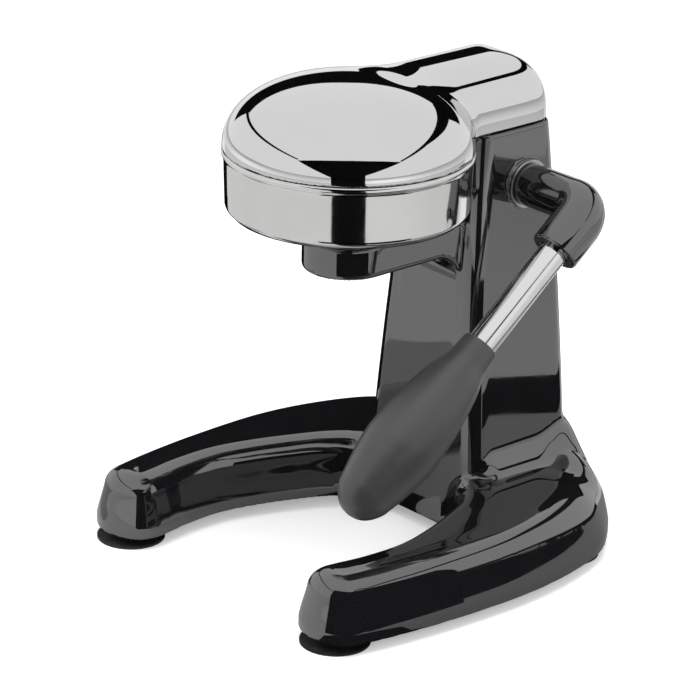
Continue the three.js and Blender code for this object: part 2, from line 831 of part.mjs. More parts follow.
function reamerCone() {
  const count = coneRibs * stepsPerRib;
  const ring = (radius, z) => {
    const depth = coneRibDepth * Math.sqrt(radius / coneRadius);
    const points = [];
    for (let i = 0; i < count; i += 1) {
      const turn = (i / count) * Math.PI * 2;
      const reach = radius - depth * Math.abs(Math.sin((turn * coneRibs) / 2));
      points.push(new THREE.Vector3(reach * Math.cos(turn), reach * Math.sin(turn), z));
    }
    return points;
  };
  const rings = [ring(coneRadius, coneBase)];
  const hollow = [[0, coneBase - overrun], [coneRadius - coneRibDepth - coneWall, coneBase - overrun]];
  for (let k = 0; k <= coneLevels; k += 1) {
    const share = Math.sin((k / coneLevels) * (Math.PI / 2)) * tipShare;
    const radius = coneRadius * (1 - share ** coneSharpnessShare) ** (1 / coneSharpnessShare);
    const z = coneBase + coneSkirt + coneHeight * share;
    rings.push(ring(radius, z));
    const within = radius - coneRibDepth - coneWall;
    if (within > coneWall) hollow.push([within, z]);
  }
  hollow.push([0, hollow[hollow.length - 1][1]]);
  const outside = solid(loft(rings));
  const spigotBottom = strainerTop - strainerSheet - coneSpigotDrop;
  const spigot = tube(
    strainerHub - gap, strainerHub - gap - coneSpigotWall, spigotBottom, coneBase + coneSkirt + coneHeight,
  );
  const below = bar(strainerHub, spigotBottom, coneBase);
  return join(outside.subtract(turned(hollow)), spigot.intersect(outside.add(below)));
}

place(press, "juice_bowl", juiceBowl(), polishedSteel());
place(press, "strainer", strainer(), brightSteel());
place(press, "reamer_cone", reamerCone(), brightSteel());

// Head: a dome and a long cap run into each other, and are hollow below

const head = new THREE.Group();
press.add(head);

function domeReach(y, turn, inset) {
  const radius = domeRadius - inset;
  const height = domeHeight - inset;
  if (Math.abs(y) >= radius) return 0;
  let [low, high] = [0, radius];
  for (let k = 0; k < halvings; k += 1) {
    const middle = (low + high) / 2;
    const across = Math.hypot(middle * Math.cos(turn), y) / radius;
    const up = (middle * Math.sin(turn)) / height;
    if (across ** domeFullness + up ** domeFullness < 1) low = middle;
    else high = middle;
  }
  return low;
}

function capReach(y, turn, inset) {
  const rear = capRear - inset;
  const corner = capCorner - inset;
  const round = Math.max(y - (rear - corner), 0);
  const halfWidth = capHalfWidth - inset - corner + Math.sqrt(Math.max(corner * corner - round * round, 0));
  const fall = THREE.MathUtils.clamp((y - (rear - capRearFall)) / capRearFall, 0, 1);
  const rise = smoothShare(-capFrontRun, capFrontRun, y);
  const height = (capHeight - inset) * (1 - fall ** capRearFullness) ** (1 / capRearFullness) * rise;
  if (height <= 0) return 0;
  const across = Math.abs(Math.cos(turn)) / halfWidth;
  const up = Math.sin(turn) / height;
  return (across ** capFullness + up ** capFullness) ** (-1 / capFullness);
}

// The greater of two distances, with the crossing rounded over the given blend
function blended(a, b, blend) {
  const near = Math.max(blend - Math.abs(a - b), 0) / blend;
  return Math.max(a, b) + (near * near * blend) / 4;
}

function headBody(inset, drop) {
  const middle = (capRear - domeRadius) / 2;
  const half = (capRear + domeRadius) / 2 - inset - headEndLand;
  const rings = [];
  for (let k = 0; k <= headStations; k += 1) {
    const y = middle - half * Math.cos((k / headStations) * Math.PI);
    const ring = [];
    for (let i = 0; i <= sectionSteps; i += 1) {
      const turn = (i / sectionSteps) * Math.PI;
      const reach = blended(domeReach(y, turn, inset), capReach(y, turn, inset), headBlend);
      ring.push(new THREE.Vector3(reach * Math.cos(turn), y, headBottom + reach * Math.sin(turn)));
    }
    if (drop > 0) {
      const { x } = ring[0];
      ring.push(new THREE.Vector3(-x, y, headBottom - drop), new THREE.Vector3(x, y, headBottom - drop));
    }
    rings.push(ring);
  }
  return solid(loft(rings));
}

function pressHead() {
  const outside = headBody(0, 0);
  const roof = headBottom + domeHeight;
  const bosses = join(
    bar(domeBossRadius, headBottom + cupTop + gap, roof),
    block(
      -rackBossWidth / 2, rackBossWidth / 2, rackTipY + gap, rackTipY + gap + rackBossDepth,
      headBottom + rackBossLift, roof,
    ),
  ).intersect(outside);
  return cut(
    join(outside.subtract(headBody(headWall, overrun)), bosses),
    bar(screwRadius + gap, headBottom, cupScrewSeat + cupScrewLength + gap, "z", screwSegments),
    ...rackScrews.map((z) => moved(
      bar(screwRadius + gap, rackFront, rackFront + rackScrewLength + gap, "y", screwSegments), 0, 0, z,
    )),
  );
}

// Press cup: a thin cup with flutes inside, hung under the dome by one screw
function pressCup() {
  const bottom = headBottom - cupDrop;
  const height = cupTop + cupDrop;
  const levelShares = [];
  for (let k = 0; k <= cupLevels; k += 1) levelShares.push(Math.sin((k / cupLevels) * (Math.PI / 2)));
  const radiusAt = (share, radius) => radius * (1 - share ** cupFullness) ** (1 / cupFullness);
  const outside = turned([
    [0, bottom], ...levelShares.map((share) => [radiusAt(share, cupRadius), bottom + share * height]),
  ], "z", bowlSegments);
  const count = cupFlutes * stepsPerFlute;
  const ring = (radius, z) => {
    const depth = cupFluteDepth * (radius / cupRadius);
    const points = [];
    for (let i = 0; i < count; i += 1) {
      const turn = (i / count) * Math.PI * 2;
      const reach = radius - depth * Math.abs(Math.sin((turn * cupFlutes) / 2));
      points.push(new THREE.Vector3(reach * Math.cos(turn), reach * Math.sin(turn), z));
    }
    return points;
  };
  const within = levelShares.map((share) => share * tipShare).map((share) => ring(
    radiusAt(share, cupRadius - cupWall), bottom + share * (height - cupWall),
  ));
  const inside = solid(loft([ring(cupRadius - cupWall, bottom - overrun), ...within]));
  const hole = bar(screwRadius + gap, bottom, bottom + height + overrun, "z", screwSegments);
  return cut(outside, inside, hole);
}

place(head, "press_head", pressHead(), chrome());
place(head, "press_cup", pressCup(), polishedSteel());
place(
  head, "press_cup_screw", screw(cupScrewLength, cupScrewHead, cupScrewHeadHeight), machinedSteel(),
  0, 0, cupScrewSeat,
);

// Rack, its two screws, and the pinion that drives it

function rackBar() {
  const pitch = Math.PI * toothModule;
  const slope = Math.tan(pressureAngle);
  const rootY = rackPitchY - dedendumShare * toothModule;
  const halfTip = (pitch - backlash) / 4 - (rackTipY - rackPitchY) * slope;
  const halfRoot = (pitch - backlash) / 4 + (rackPitchY - rootY) * slope;
  const firstTooth = shaftHeight - rackTeeth * pitch;
  const lastTooth = shaftHeight + rackTeethAbove * pitch;
  const shape = new THREE.Shape();
  shape.moveTo(rackFront, firstTooth - pitch / 2 - rackTail);
  shape.lineTo(rackTipY, firstTooth - pitch / 2 - rackTail);
  shape.lineTo(rackTipY, firstTooth - pitch + halfTip);
  shape.lineTo(rootY, firstTooth - pitch + halfRoot);
  for (let z = firstTooth; z < lastTooth + pitch / 2; z += pitch) {
    shape.lineTo(rootY, z - halfRoot);
    shape.lineTo(rackTipY, z - halfTip);
    shape.lineTo(rackTipY, z + halfTip);
    shape.lineTo(rootY, z + halfRoot);
  }
  shape.lineTo(rootY, lastTooth + pitch - halfRoot);
  shape.lineTo(rackTipY, lastTooth + pitch - halfTip);
  shape.lineTo(rackTipY, headBottom + rackHeadLength);
  shape.lineTo(rackFront, headBottom + rackHeadLength);
  const plain = moved(sideways(shape, rackWidth), -rackWidth / 2, 0, 0);
  return cut(plain, ...rackScrews.map((z) => moved(
    bar(screwRadius + gap, rackFront - overrun, rackTipY + overrun, "y", screwSegments), 0, 0, z,
  )));
}

// One side of an involute tooth, from its root to its tip, as [radius, angle from the tooth's middle]
function toothFlank() {
  const baseRadius = pitchRadius * Math.cos(pressureAngle);
  const tipRadius = pitchRadius + pinionAddendumShare * toothModule;
  const involute = (radius) => {
    const roll = Math.sqrt(Math.max((radius / baseRadius) ** 2 - 1, 0));
    return roll - Math.atan(roll);
  };
  const halfAngle = (Math.PI - backlash / toothModule) / (2 * pinionTeeth) + involute(pitchRadius);
  const flank = [[pitchRadius - dedendumShare * toothModule, halfAngle]];
  for (let k = 0; k <= flankSteps; k += 1) {
    const radius = THREE.MathUtils.lerp(baseRadius, tipRadius, k / flankSteps);
    flank.push([radius, halfAngle - involute(radius)]);
  }
  return flank;
}

function pinionGear() {
  const flank = toothFlank();
  const points = [];
  for (let tooth = 0; tooth < pinionTeeth; tooth += 1) {
    const middle = ((tooth * 2 + 1) / pinionTeeth) * Math.PI;
    for (const [radius, angle] of flank) points.push([radius, middle - angle]);
    for (const [radius, angle] of [...flank].reverse()) points.push([radius, middle + angle]);
  }
  const shape = new THREE.Shape(points.map(([radius, turn]) => new THREE.Vector2(
    -radius * Math.cos(turn), radius * Math.sin(turn),
  )));
  const blank = moved(sideways(shape, rackWidth), -rackWidth / 2, 0, 0);
  return cut(
    blank,
    bar(shaftRadius + gap, -rackWidth, rackWidth, "x"),
    bar(pinRadius + gap, -pitchRadius * 2, pitchRadius * 2, "y", screwSegments),
  );
}

place(head, "rack_bar", rackBar(), machinedSteel());
for (const [name, z] of [["rack_screw_lower", rackScrews[0]], ["rack_screw_upper", rackScrews[1]]]) {
  const mesh = place(
    head, name, screw(rackScrewLength, rackScrewHead, rackScrewHeadHeight), machinedSteel(),
    0, rackFront - gap, z,
  );
  mesh.rotation.x = -Math.PI / 2;
}

// Lever: the pinion and its shaft, and the elbow, rod and grip that turn them

const lever = new THREE.Group();
lever.position.set(0, shaftY, shaftHeight);
press.add(lever);

function leverShaft() {
  const hole = bar(pinRadius + gap, -shaftRadius * 2, shaftRadius * 2, "y", screwSegments);
  return bar(shaftRadius, -bushEnd, shaftEnd - gap, "x").subtract(hole);
}

place(lever, "pinion_gear", pinionGear(), machinedSteel());
place(lever, "lever_shaft", leverShaft(), machinedSteel());
place(
  lever, "pinion_pin", bar(pinRadius, -pinHalfLength, pinHalfLength, "y", screwSegments), machinedSteel(),
);

const leverArm = new THREE.Group();
leverArm.rotation.x = leverAngle;
lever.add(leverArm);

// The elbow follows a straight, a quarter turn and a second straight, and swells toward its socket
function leverElbow() {
  const path = [[elbowStart, 0, 0]];
  for (let k = 0; k <= bendSteps; k += 1) {
    const turn = (k / bendSteps) * (Math.PI / 2);
    path.push([
      leverReach - elbowBend * (1 - Math.sin(turn)), -elbowBend * (1 - Math.cos(turn)), turn,
    ]);
  }
  path.push([leverReach, -socketLength + socketEdge, Math.PI / 2], [leverReach, -socketLength, Math.PI / 2]);
  const rings = path.map(([x, y, turn], k) => {
    const swell = smoothShare(0, 1, Math.max(k - 1, 0) / bendSteps);
    const full = THREE.MathUtils.lerp(elbowRadius, socketRadius, swell);
    const radius = k === path.length - 1 ? full - socketEdge : full;
    const points = [];
    for (let i = 0; i < elbowSegments; i += 1) {
      const around = (i / elbowSegments) * Math.PI * 2;
      const side = radius * Math.cos(around);
      points.push(new THREE.Vector3(
        x + side * Math.sin(turn), y + side * Math.cos(turn), radius * Math.sin(around),
      ));
    }
    return points;
  });
  const setScrewHole = bar(screwRadius + gap, -elbowRadius - overrun, 0, "z", screwSegments);
  return cut(
    solid(loft(rings)),
    bar(shaftRadius + gap, elbowStart - overrun, shaftEnd, "x"),
    moved(bar(rodRadius + gap, -socketLength - overrun, -rodInset + gap, "y"), leverReach, 0, 0),
    moved(setScrewHole, elbowStart + setScrewPlace, 0, 0),
  );
}

function elbowScrew() {
  const inner = -shaftRadius - gap;
  const outer = -elbowRadius + setScrewSink;
  const body = bar(screwRadius, outer, inner, "z", screwSegments).subtract(socket(outer));
  return moved(body, elbowStart + setScrewPlace, 0, 0);
}

function leverGrip() {
  const shares = gripSwellShares.map(([along, radius]) => new THREE.Vector2(along, radius));
  const swell = new THREE.SplineCurve(shares);
  const profile = swell.getPoints(gripSwellShares.length * stepsPerGripPoint).map(({ x, y }) => [
    Math.max(y, 0) * gripNeckRadius, -gripStart - Math.min(x, 1) * gripLength,
  ]);
  profile[profile.length - 1][0] = 0;
  const boreEnd = -gripStart - gripBoreLength;
  const bore = bar(rodRadius + gap, boreEnd, -gripStart + overrun, "y");
  return turned([[0, -gripStart], ...profile], "y").subtract(bore);
}

place(leverArm, "lever_elbow", leverElbow(), blackEnamel());
place(leverArm, "elbow_screw", elbowScrew(), machinedSteel());
const rod = bar(rodRadius, -gripStart - gripBoreLength + gap, -rodInset, "y");
place(leverArm, "lever_rod", rod, brightSteel(), leverReach);
place(leverArm, "lever_grip", leverGrip(), softGrip(), leverReach);

press.position.y = (footRadius - frontFootY - baseRear) / 2;

export default press;
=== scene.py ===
# %% [markdown]
# # Lever citrus press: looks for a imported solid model
# The solid model gives every piece its size and its place. This lesson dresses it. It loads that frame,
# builds finer skins where the eye would catch a facet, gives each surface a finish made only of shader
# nodes, and lights it as a product on a white table.

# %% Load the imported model
import json
from math import ceil, cos, pi, radians, sin, tau

import bpy
import numpy as np
from mathutils import Matrix, Vector
from numpy import hypot, maximum, minimum

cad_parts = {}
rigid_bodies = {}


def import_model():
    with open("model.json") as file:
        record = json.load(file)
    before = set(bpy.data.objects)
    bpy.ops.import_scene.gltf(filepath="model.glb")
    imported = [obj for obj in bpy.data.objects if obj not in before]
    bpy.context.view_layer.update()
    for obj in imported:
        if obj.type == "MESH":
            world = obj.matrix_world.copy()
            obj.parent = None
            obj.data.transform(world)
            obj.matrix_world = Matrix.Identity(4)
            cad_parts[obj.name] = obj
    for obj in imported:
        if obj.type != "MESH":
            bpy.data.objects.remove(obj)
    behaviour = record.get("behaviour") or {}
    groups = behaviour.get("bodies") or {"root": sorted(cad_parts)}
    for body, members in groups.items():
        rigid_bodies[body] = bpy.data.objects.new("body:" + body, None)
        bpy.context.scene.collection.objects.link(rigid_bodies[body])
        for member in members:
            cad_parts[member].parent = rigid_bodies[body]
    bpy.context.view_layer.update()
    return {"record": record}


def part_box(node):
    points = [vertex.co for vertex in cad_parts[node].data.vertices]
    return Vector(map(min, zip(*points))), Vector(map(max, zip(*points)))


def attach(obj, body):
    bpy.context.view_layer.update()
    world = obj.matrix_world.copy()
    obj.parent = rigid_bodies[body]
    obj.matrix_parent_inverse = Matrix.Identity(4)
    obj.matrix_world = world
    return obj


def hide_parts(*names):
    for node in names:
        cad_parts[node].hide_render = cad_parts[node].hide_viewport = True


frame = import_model()

# %% [markdown]
# ## The viewpoint
# The press is seen from its front right, a little above. The camera was solved from the round rim, the
# seam and the four feet, so it is given as a compass bearing, a height angle, a small roll and a distance.

# %% A helper that adds an object to the scene
def new_object(name, data):
    made = bpy.data.objects.new(name, data)
    bpy.context.scene.collection.objects.link(made)
    return made

# %% Camera
# The bearing is counted from the press's front toward the lever's side.
bearing = radians(48.2)
lift = radians(21.354)
roll = radians(1.301)
target = Vector((0, -0.01754, 0.10188))
distance = 1.79023
focal_length = 195.53
sensor_width = 36
farthest = 20

toward_camera = Vector((sin(bearing) * cos(lift), -cos(bearing) * cos(lift), sin(lift)))
camera_data = bpy.data.cameras.new("camera")
camera_data.lens = focal_length
camera_data.sensor_width = sensor_width
camera_data.clip_end = farthest
camera = new_object("camera", camera_data)
turn = toward_camera.to_track_quat("Z", "Y").to_matrix().to_4x4()
stand_point = Matrix.Translation(target + toward_camera * distance)
camera.matrix_world = stand_point @ turn @ Matrix.Rotation(roll, 4, "Z")
bpy.context.scene.camera = camera
print("camera at", [round(v, 3) for v in camera.matrix_world.translation])

# %% [markdown]
# ## Sizes of the press
# Shapes below are drawn in millimetres about the bowl's upright axis, as the maker would dimension them.
# `add_piece` then moves them into the frame, whose origin lies behind that axis, and turns them to metres.
# The press stands on z = 0 with its arch toward -y and its lever on the +x side.

# %% Main dimensions
mm = 0.001
axis_shift = -21.05
rim_height = 203.2
casting_bottom = 5.2
wall = 3
gap = 0.3
shaft_y = 86.6
shaft_height = 175.3
lever_angle = radians(38.5)
lever_reach = 71.6
nearly_zero = 1e-6
print("the rim is", rim_height, "mm above the table")

# %% A helper that turns points into a piece of the press
# Edges sharper than the given angle stay crisp, unless the piece brings its own normals.
dressed = []

def add_piece(name, points, faces, body, slot_name, *nodes, sharp=35, normals=None):
    mesh = bpy.data.meshes.new(name)
    in_frame = (np.asarray(points, dtype=float) + (0, axis_shift, 0)) * mm
    mesh.from_pydata(in_frame.tolist(), [], [list(map(int, face)) for face in faces])
    mesh.shade_smooth()
    if normals is not None:
        mesh.normals_split_custom_set_from_vertices(normals.tolist())
    else:
        mesh.set_sharp_from_angle(angle=radians(sharp))
    piece = new_object(name, mesh)
    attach(piece, body)
    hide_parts(*nodes)
    dressed.append((piece, slot_name))
    print(name, "has", len(mesh.vertices), "points")
    return piece

# %% [markdown]
# ## Castings as fields
# The stand and the head are castings: every wall runs into the next with a fillet, and gloss shows the
# smallest step. A subdivided cage would drift from the sizes, so each is written as a field, a number for
# every place in space that is below zero inside the metal. Simple forms are cut and joined by comparing
# their fields, and a fillet is a rounded comparison. The skin is then drawn where the field is zero.

# %% Fillets and blends between fields
# A cut keeps what lies inside both fields, and a join keeps what lies inside either.
def smooth(start, end, value):
    share = np.clip((value - start) / (end - start), 0, 1)
    return share * share * (3 - 2 * share)

def blend(first, second, share):
    return first + (second - first) * share

def round_cut(a, b, radius):
    inner = minimum(maximum(a, b), -radius)
    return inner + hypot(maximum(a + radius, 0), maximum(b + radius, 0))

def round_join(a, b, radius):
    return -round_cut(-a, -b, radius)

def soft_join(a, b, width):
    near = maximum(width - np.abs(a - b), 0) / width
    return minimum(a, b) - near * near * width / 4

# %% The slope of a field
# It is read from two places on either side of a point, along each of the three axes.
fine_reach = 0.02

def slope_of(field, points, reach=fine_reach):
    slope = np.empty_like(points)
    for k in range(3):
        step = np.zeros_like(points)
        step[:, k:k + 1] = reach
        slope[:, k] = (field(*(points + step).T) - field(*(points - step).T)) / (2 * step[:, k])
    return slope

# %% Points where the surface crosses a grid
# Each cell that the surface crosses gets a number and one point, in the middle of its crossings.
def crossing_points(grid, inside):
    filled = sum(
        inside[tuple(slice(a, n - 1 + a) for a, n in zip(corner, grid.shape))].astype(np.int8)
        for corner in np.ndindex(2, 2, 2)
    )
    mixed = (filled > 0) & (filled < 8)
    cells = np.argwhere(mixed)
    number = np.full(mixed.shape, -1)
    number[mixed] = np.arange(len(cells))
    total = np.zeros((len(cells), 3))
    crossings = np.zeros(len(cells))
    for k in range(3):
        for side, other in np.ndindex(2, 2):
            start = cells.copy()
            start[:, (k + 1) % 3] += side
            start[:, (k + 2) % 3] += other
            end = start.copy()
            end[:, k] += 1
            a, b = grid[tuple(start.T)], grid[tuple(end.T)]
            cross = (a < 0) != (b < 0)
            place = start.astype(float)
            place[:, k] += np.where(cross, a / np.where(cross, a - b, 1), 0)
            total += place * cross[:, None]
            crossings += cross
    return total, crossings[:, None], number

# %% Faces between those points
# Each grid edge that the surface crosses gets one four-sided face, turned to look outward.
def crossing_faces(inside, number):
    faces = []
    for k in range(3):
        u, v = (k + 1) % 3, (k + 2) % 3
        ahead = [slice(1, -1)] * 3
        ahead[k] = slice(0, -1)
        beyond = list(ahead)
        beyond[k] = slice(1, None)
        a, b = inside[tuple(ahead)], inside[tuple(beyond)]
        for leaving in (True, False):
            edges = np.argwhere((a != b) & (a == leaving))
            corners = []
            for ahead_u, ahead_v in ((1, 1), (0, 1), (0, 0), (1, 0)):
                cell = edges.copy()
                cell[:, u] += ahead_u
                cell[:, v] += ahead_v
                corners.append(number[tuple(cell.T)])
            quad = np.stack(corners, 1)
            faces.append(quad if leaving else quad[:, ::-1])
    return np.concatenate(faces)

# %% Draw the skin of a field
# Short steps along the slope bring the points onto the surface, and the slope there is the normal, so gloss
# runs over the facets without a break. A point that can't reach the surface goes back to where it was drawn.
pull_steps = 4
longest_pull = 0.5
least_slope = 0.05
miss_share = 0.12
coarse_share = 0.3

def skin_of(field, low, high, step):
    low = np.array(low, dtype=float)
    counts = [ceil((high[k] - low[k]) / step) + 1 for k in range(3)]
    x, y, z = (low[k] + step * np.arange(counts[k]) for k in range(3))
    grid = np.broadcast_to(field(x[:, None, None], y[None, :, None], z[None, None, :]), counts)
    total, crossings, number = crossing_points(grid, grid < 0)
    points = low + step * total / crossings
    drawn = points.copy()
    for _ in range(pull_steps):
        slope = slope_of(field, points)
        steepness = maximum((slope ** 2).sum(1), least_slope)
        move = field(*points.T)[:, None] * slope / steepness[:, None]
        length = np.linalg.norm(move, axis=1)[:, None]
        points -= move * minimum(1, longest_pull * step / maximum(length, nearly_zero))
    missed = np.abs(field(*points.T)) > miss_share * step
    points[missed] = drawn[missed]
    slope = slope_of(field, points, fine_reach + coarse_share * step * missed[:, None])
    normals = slope / np.linalg.norm(slope, axis=1)[:, None]
    return points, crossing_faces(grid < 0, number), normals

# %% [markdown]
# ## The stand's outline
# Seen from above, the base is a horseshoe round an open arch for the glass. Its outline is a smooth curve
# through points of the right half, mirrored to the left. The distance to it is worked out once, on a fine
# table, and read from there.

# %% Outline of the base
# Points are shares of the sizes named here, so the outline follows them.
base_half_width = 102.3
base_rear = 127
base_front = 82.8
arch_half_width = 59.5
arch_apex = 50.5
arch_shares = [
    (0, 1), (0.232, 0.981), (0.47, 0.86), (0.687, 0.605), (0.83, 0.244), (0.93, -0.057),
    (1, -0.288), (0.988, -0.565),
]
leg_inset_shares = [
    (1.068, -0.72), (1.0875, -0.83), (1.006, -0.936), (0.755, -1), (0.502, -0.997),
    (0.256, -0.922), (0.1745, -0.78), (0.0837, -0.482), (0.0335, -0.217),
]
rear_shares = [
    (1, 0.118), (0.992, 0.276), (0.963, 0.449), (0.916, 0.6), (0.868, 0.697), (0.8, 0.776),
    (0.645, 0.898), (0.39, 0.972), (0, 1),
]
leg_width = base_half_width - arch_half_width
right_side = [(x * arch_half_width, y * (base_front if y < 0 else arch_apex)) for x, y in arch_shares]
right_side += [(base_half_width - x * leg_width, y * base_front) for x, y in leg_inset_shares]
right_side += [(x * base_half_width, y * base_rear) for x, y in rear_shares]
left_side = [(-x, y) for x, y in reversed(right_side[1:-1])]
outline_points = np.array(right_side + left_side)

# %% Draw the outline as a smooth curve
# Spans are weighed by the root of their length, which keeps a short span from overshooting.
curve_steps = 24

def curve_slope(a, b, c, first, last):
    return (b - a) / first - (c - a) / (first + last) + (c - b) / last

def closed_curve(points, steps):
    before, after = np.roll(points, 1, 0), np.roll(points, -1, 0)
    beyond = np.roll(points, -2, 0)
    first, middle, last = (
        np.sqrt(np.linalg.norm(b - a, axis=1))[:, None]
        for a, b in ((before, points), (points, after), (after, beyond))
    )
    leave = middle * curve_slope(before, points, after, first, middle)
    arrive = middle * curve_slope(points, after, beyond, middle, last)
    share = np.arange(steps)[None, :, None] / steps
    cubic = (
        (2 * share ** 3 - 3 * share ** 2 + 1) * points[:, None]
        + (share ** 3 - 2 * share ** 2 + share) * leave[:, None]
        + (3 * share ** 2 - 2 * share ** 3) * after[:, None]
        + (share ** 3 - share ** 2) * arrive[:, None]
    )
    return cubic.reshape(-1, 2)

outline = closed_curve(outline_points, curve_steps)
outline[:, 0] *= base_half_width / outline[:, 0].max()
outline[:, 1] = minimum(outline[:, 1], base_rear)
print("the outline has", len(outline), "points")

# %% Distance to the outline, kept on a table
# The table has a place for each millimetre. A cubic spline reads between them without a kink in its slope.
table_low = np.array([-112.0, -92.0])
table_size = (225, 230)
table_x = table_low[0] + np.arange(table_size[0])
table_y = table_low[1] + np.arange(table_size[1])
nearest = np.full(table_size, 1e9)
crossed = np.zeros(table_size, dtype=int)
for start, end in zip(outline, np.roll(outline, -1, 0)):
    along = end - start
    from_x = table_x[:, None] - start[0]
    from_y = table_y[None, :] - start[1]
    share = np.clip((from_x * along[0] + from_y * along[1]) / (along @ along), 0, 1)
    reach = (from_x - share * along[0]) ** 2 + (from_y - share * along[1]) ** 2
    nearest = minimum(nearest, reach)
    if start[1] != end[1]:
        spans = (start[1] > table_y) != (end[1] > table_y)
        at_x = start[0] + (table_y - start[1]) * along[0] / along[1]
        crossed += spans[None, :] & (table_x[:, None] < at_x[None, :])
outline_table = np.sqrt(nearest) * np.where(crossed % 2, -1, 1)

def spline_weights(share):
    return (
        (1 - share) ** 3 / 6, (3 * share ** 3 - 6 * share ** 2 + 4) / 6,
        (-3 * share ** 3 + 3 * share ** 2 + 3 * share + 1) / 6, share ** 3 / 6,
    )

def outline_distance(x, y):
    x = np.clip(x - table_low[0], 1, table_size[0] - 3.001)
    y = np.clip(y - table_low[1], 1, table_size[1] - 3.001)
    column, row = np.floor(x).astype(int), np.floor(y).astype(int)
    total = 0
    for i, across in enumerate(spline_weights(x - column)):
        for j, along in enumerate(spline_weights(y - row)):
            total = total + across * along * outline_table[column + i - 1, row + j - 1]
    return total

# %% [markdown]
# ## The stand casting
# One hollow casting makes the legs, the heel behind, the tapered column and the arm that carries the bowl.
# Its legs have drafted sides and a wide round along the top. The heel is a shoulder that climbs toward the
# column, and a cove runs round the column's foot. Under the arm, a quarter arch runs down into the column.
# The skin lies a little inside the solid's outline, so that no blend reaches past the press's true size.

# %% Stand: the forms that it is joined from
inside_margin = 0.15
leg_height, rear_leg_height = 35, 34.5
leg_draft = 3.8
leg_edge, rear_edge = 8.5, 13
lower_edge = 1.2
heel_start, heel_full, heel_climb = 88, 118, 12
heel_run, least_run = 23, 8
heel_curve, heel_join, least_up, least_pace = 1.75, 3, 0.5, 0.01
leg_change_start = 20
column_half_width, column_taper, column_corner = 26.9, 0.075, 9.5
column_front, column_rear, draw_depth = 59.5, 107.3, 220
front_spread, rear_spread = 11, 8
column_top = 202.7

def ground_field(x, y, z):
    edge = -outline_distance(x, y) - inside_margin
    back = smooth(leg_change_start, base_rear, y)
    top = blend(leg_height, rear_leg_height, back)
    radius = blend(leg_edge, rear_edge, back)
    climb = maximum(z - casting_bottom - lower_edge, 0)
    lean = leg_draft * climb / (top - radius - casting_bottom - lower_edge)
    legs = round_cut(lean - edge, z - top, radius)
    heel_top = leg_height + heel_climb * smooth(heel_start, heel_full, y)
    to_column = edge + maximum(column_distance(x, y, leg_height), 0)
    run = minimum(heel_run, maximum(to_column, least_run))
    out = 1 - minimum(edge / run, 1)
    up = maximum(z - casting_bottom, least_up) / (heel_top - casting_bottom)
    pace = hypot(
        2 * out / run, heel_curve * up ** (heel_curve - 1) / (heel_top - casting_bottom),
    )
    heel = (np.sign(out) * out ** 2 + up ** heel_curve - 1) / maximum(pace, least_pace)
    return maximum(soft_join(legs, heel, heel_join), -edge)

def column_distance(x, y, z):
    fall = rim_height - z
    draw = 1 - (1 - minimum(fall / draw_depth, 1)) ** 2
    half = column_half_width + column_taper * fall - inside_margin
    front, rear = column_front - front_spread * draw, column_rear + rear_spread * draw
    across = np.abs(x) - half + column_corner
    along = np.abs(y - (front + rear) / 2) - (rear - front) / 2 + column_corner
    beyond = hypot(maximum(across, 0), maximum(along, 0))
    return beyond + minimum(maximum(across, along), 0) - column_corner

# %% Stand: the arm and the arch under it
arm_half_width = 21
arm_bottom, arm_top, arm_edge = 144.5, 160, 2.6
arm_end = 63
arch_centre_y, arch_centre_z, arch_radius = 38.4, 129.5, 15
arch_ahead, arch_above = 3, 5

def arm_field(x, y, z):
    side = hypot(x, minimum(y, 0)) - arm_half_width
    arm = round_cut(round_cut(side, arm_bottom - z, arm_edge), z - arm_top, lower_edge)
    hollow = hypot(maximum(y - arch_centre_y, 0), maximum(z - arch_centre_z, 0))
    arch = round_cut(arch_radius - hollow, np.abs(x) - arm_half_width, arm_edge)
    arch = maximum(arch, maximum(arch_centre_y - arch_ahead - y, z - arm_bottom - arch_above))
    return maximum(minimum(arm, arch), y - arm_end)

# %% Stand: bores, hollow and bosses
# The casting is hollow below, with bosses for the foot screws and the shaft, and a pad on each side for the
# washer and the cap. The rack guide, the bowl and its outlet have their own clearances cut from it.
pad_face = column_half_width + column_taper * (rim_height - shaft_height) + 1
pad_radius, pad_edge = 12, 0.6
cove_beside, cove_behind, arm_cove = 13, 8, 2.2
cove_start, cove_full, least_cove = 46, 62, 0.8
column_edge, column_lid = 1.5, 7
feet_at = [(74.8, -68.5), (70, 82)]
foot_boss_radius, foot_boss_bottom = 8.6, 8.9
shaft_boss_radius, shaft_boss_inner, shaft_bore = 12.6, 10.2, 9.3
guide_half_width, guide_half_depth, guide_y, guide_bottom, guide_corner = 11, 6.65, 71.55, 189.4, 0.8
bowl_clearance, bowl_clearance_bottom = 58.2, 173.3
outlet_bore = 11.3

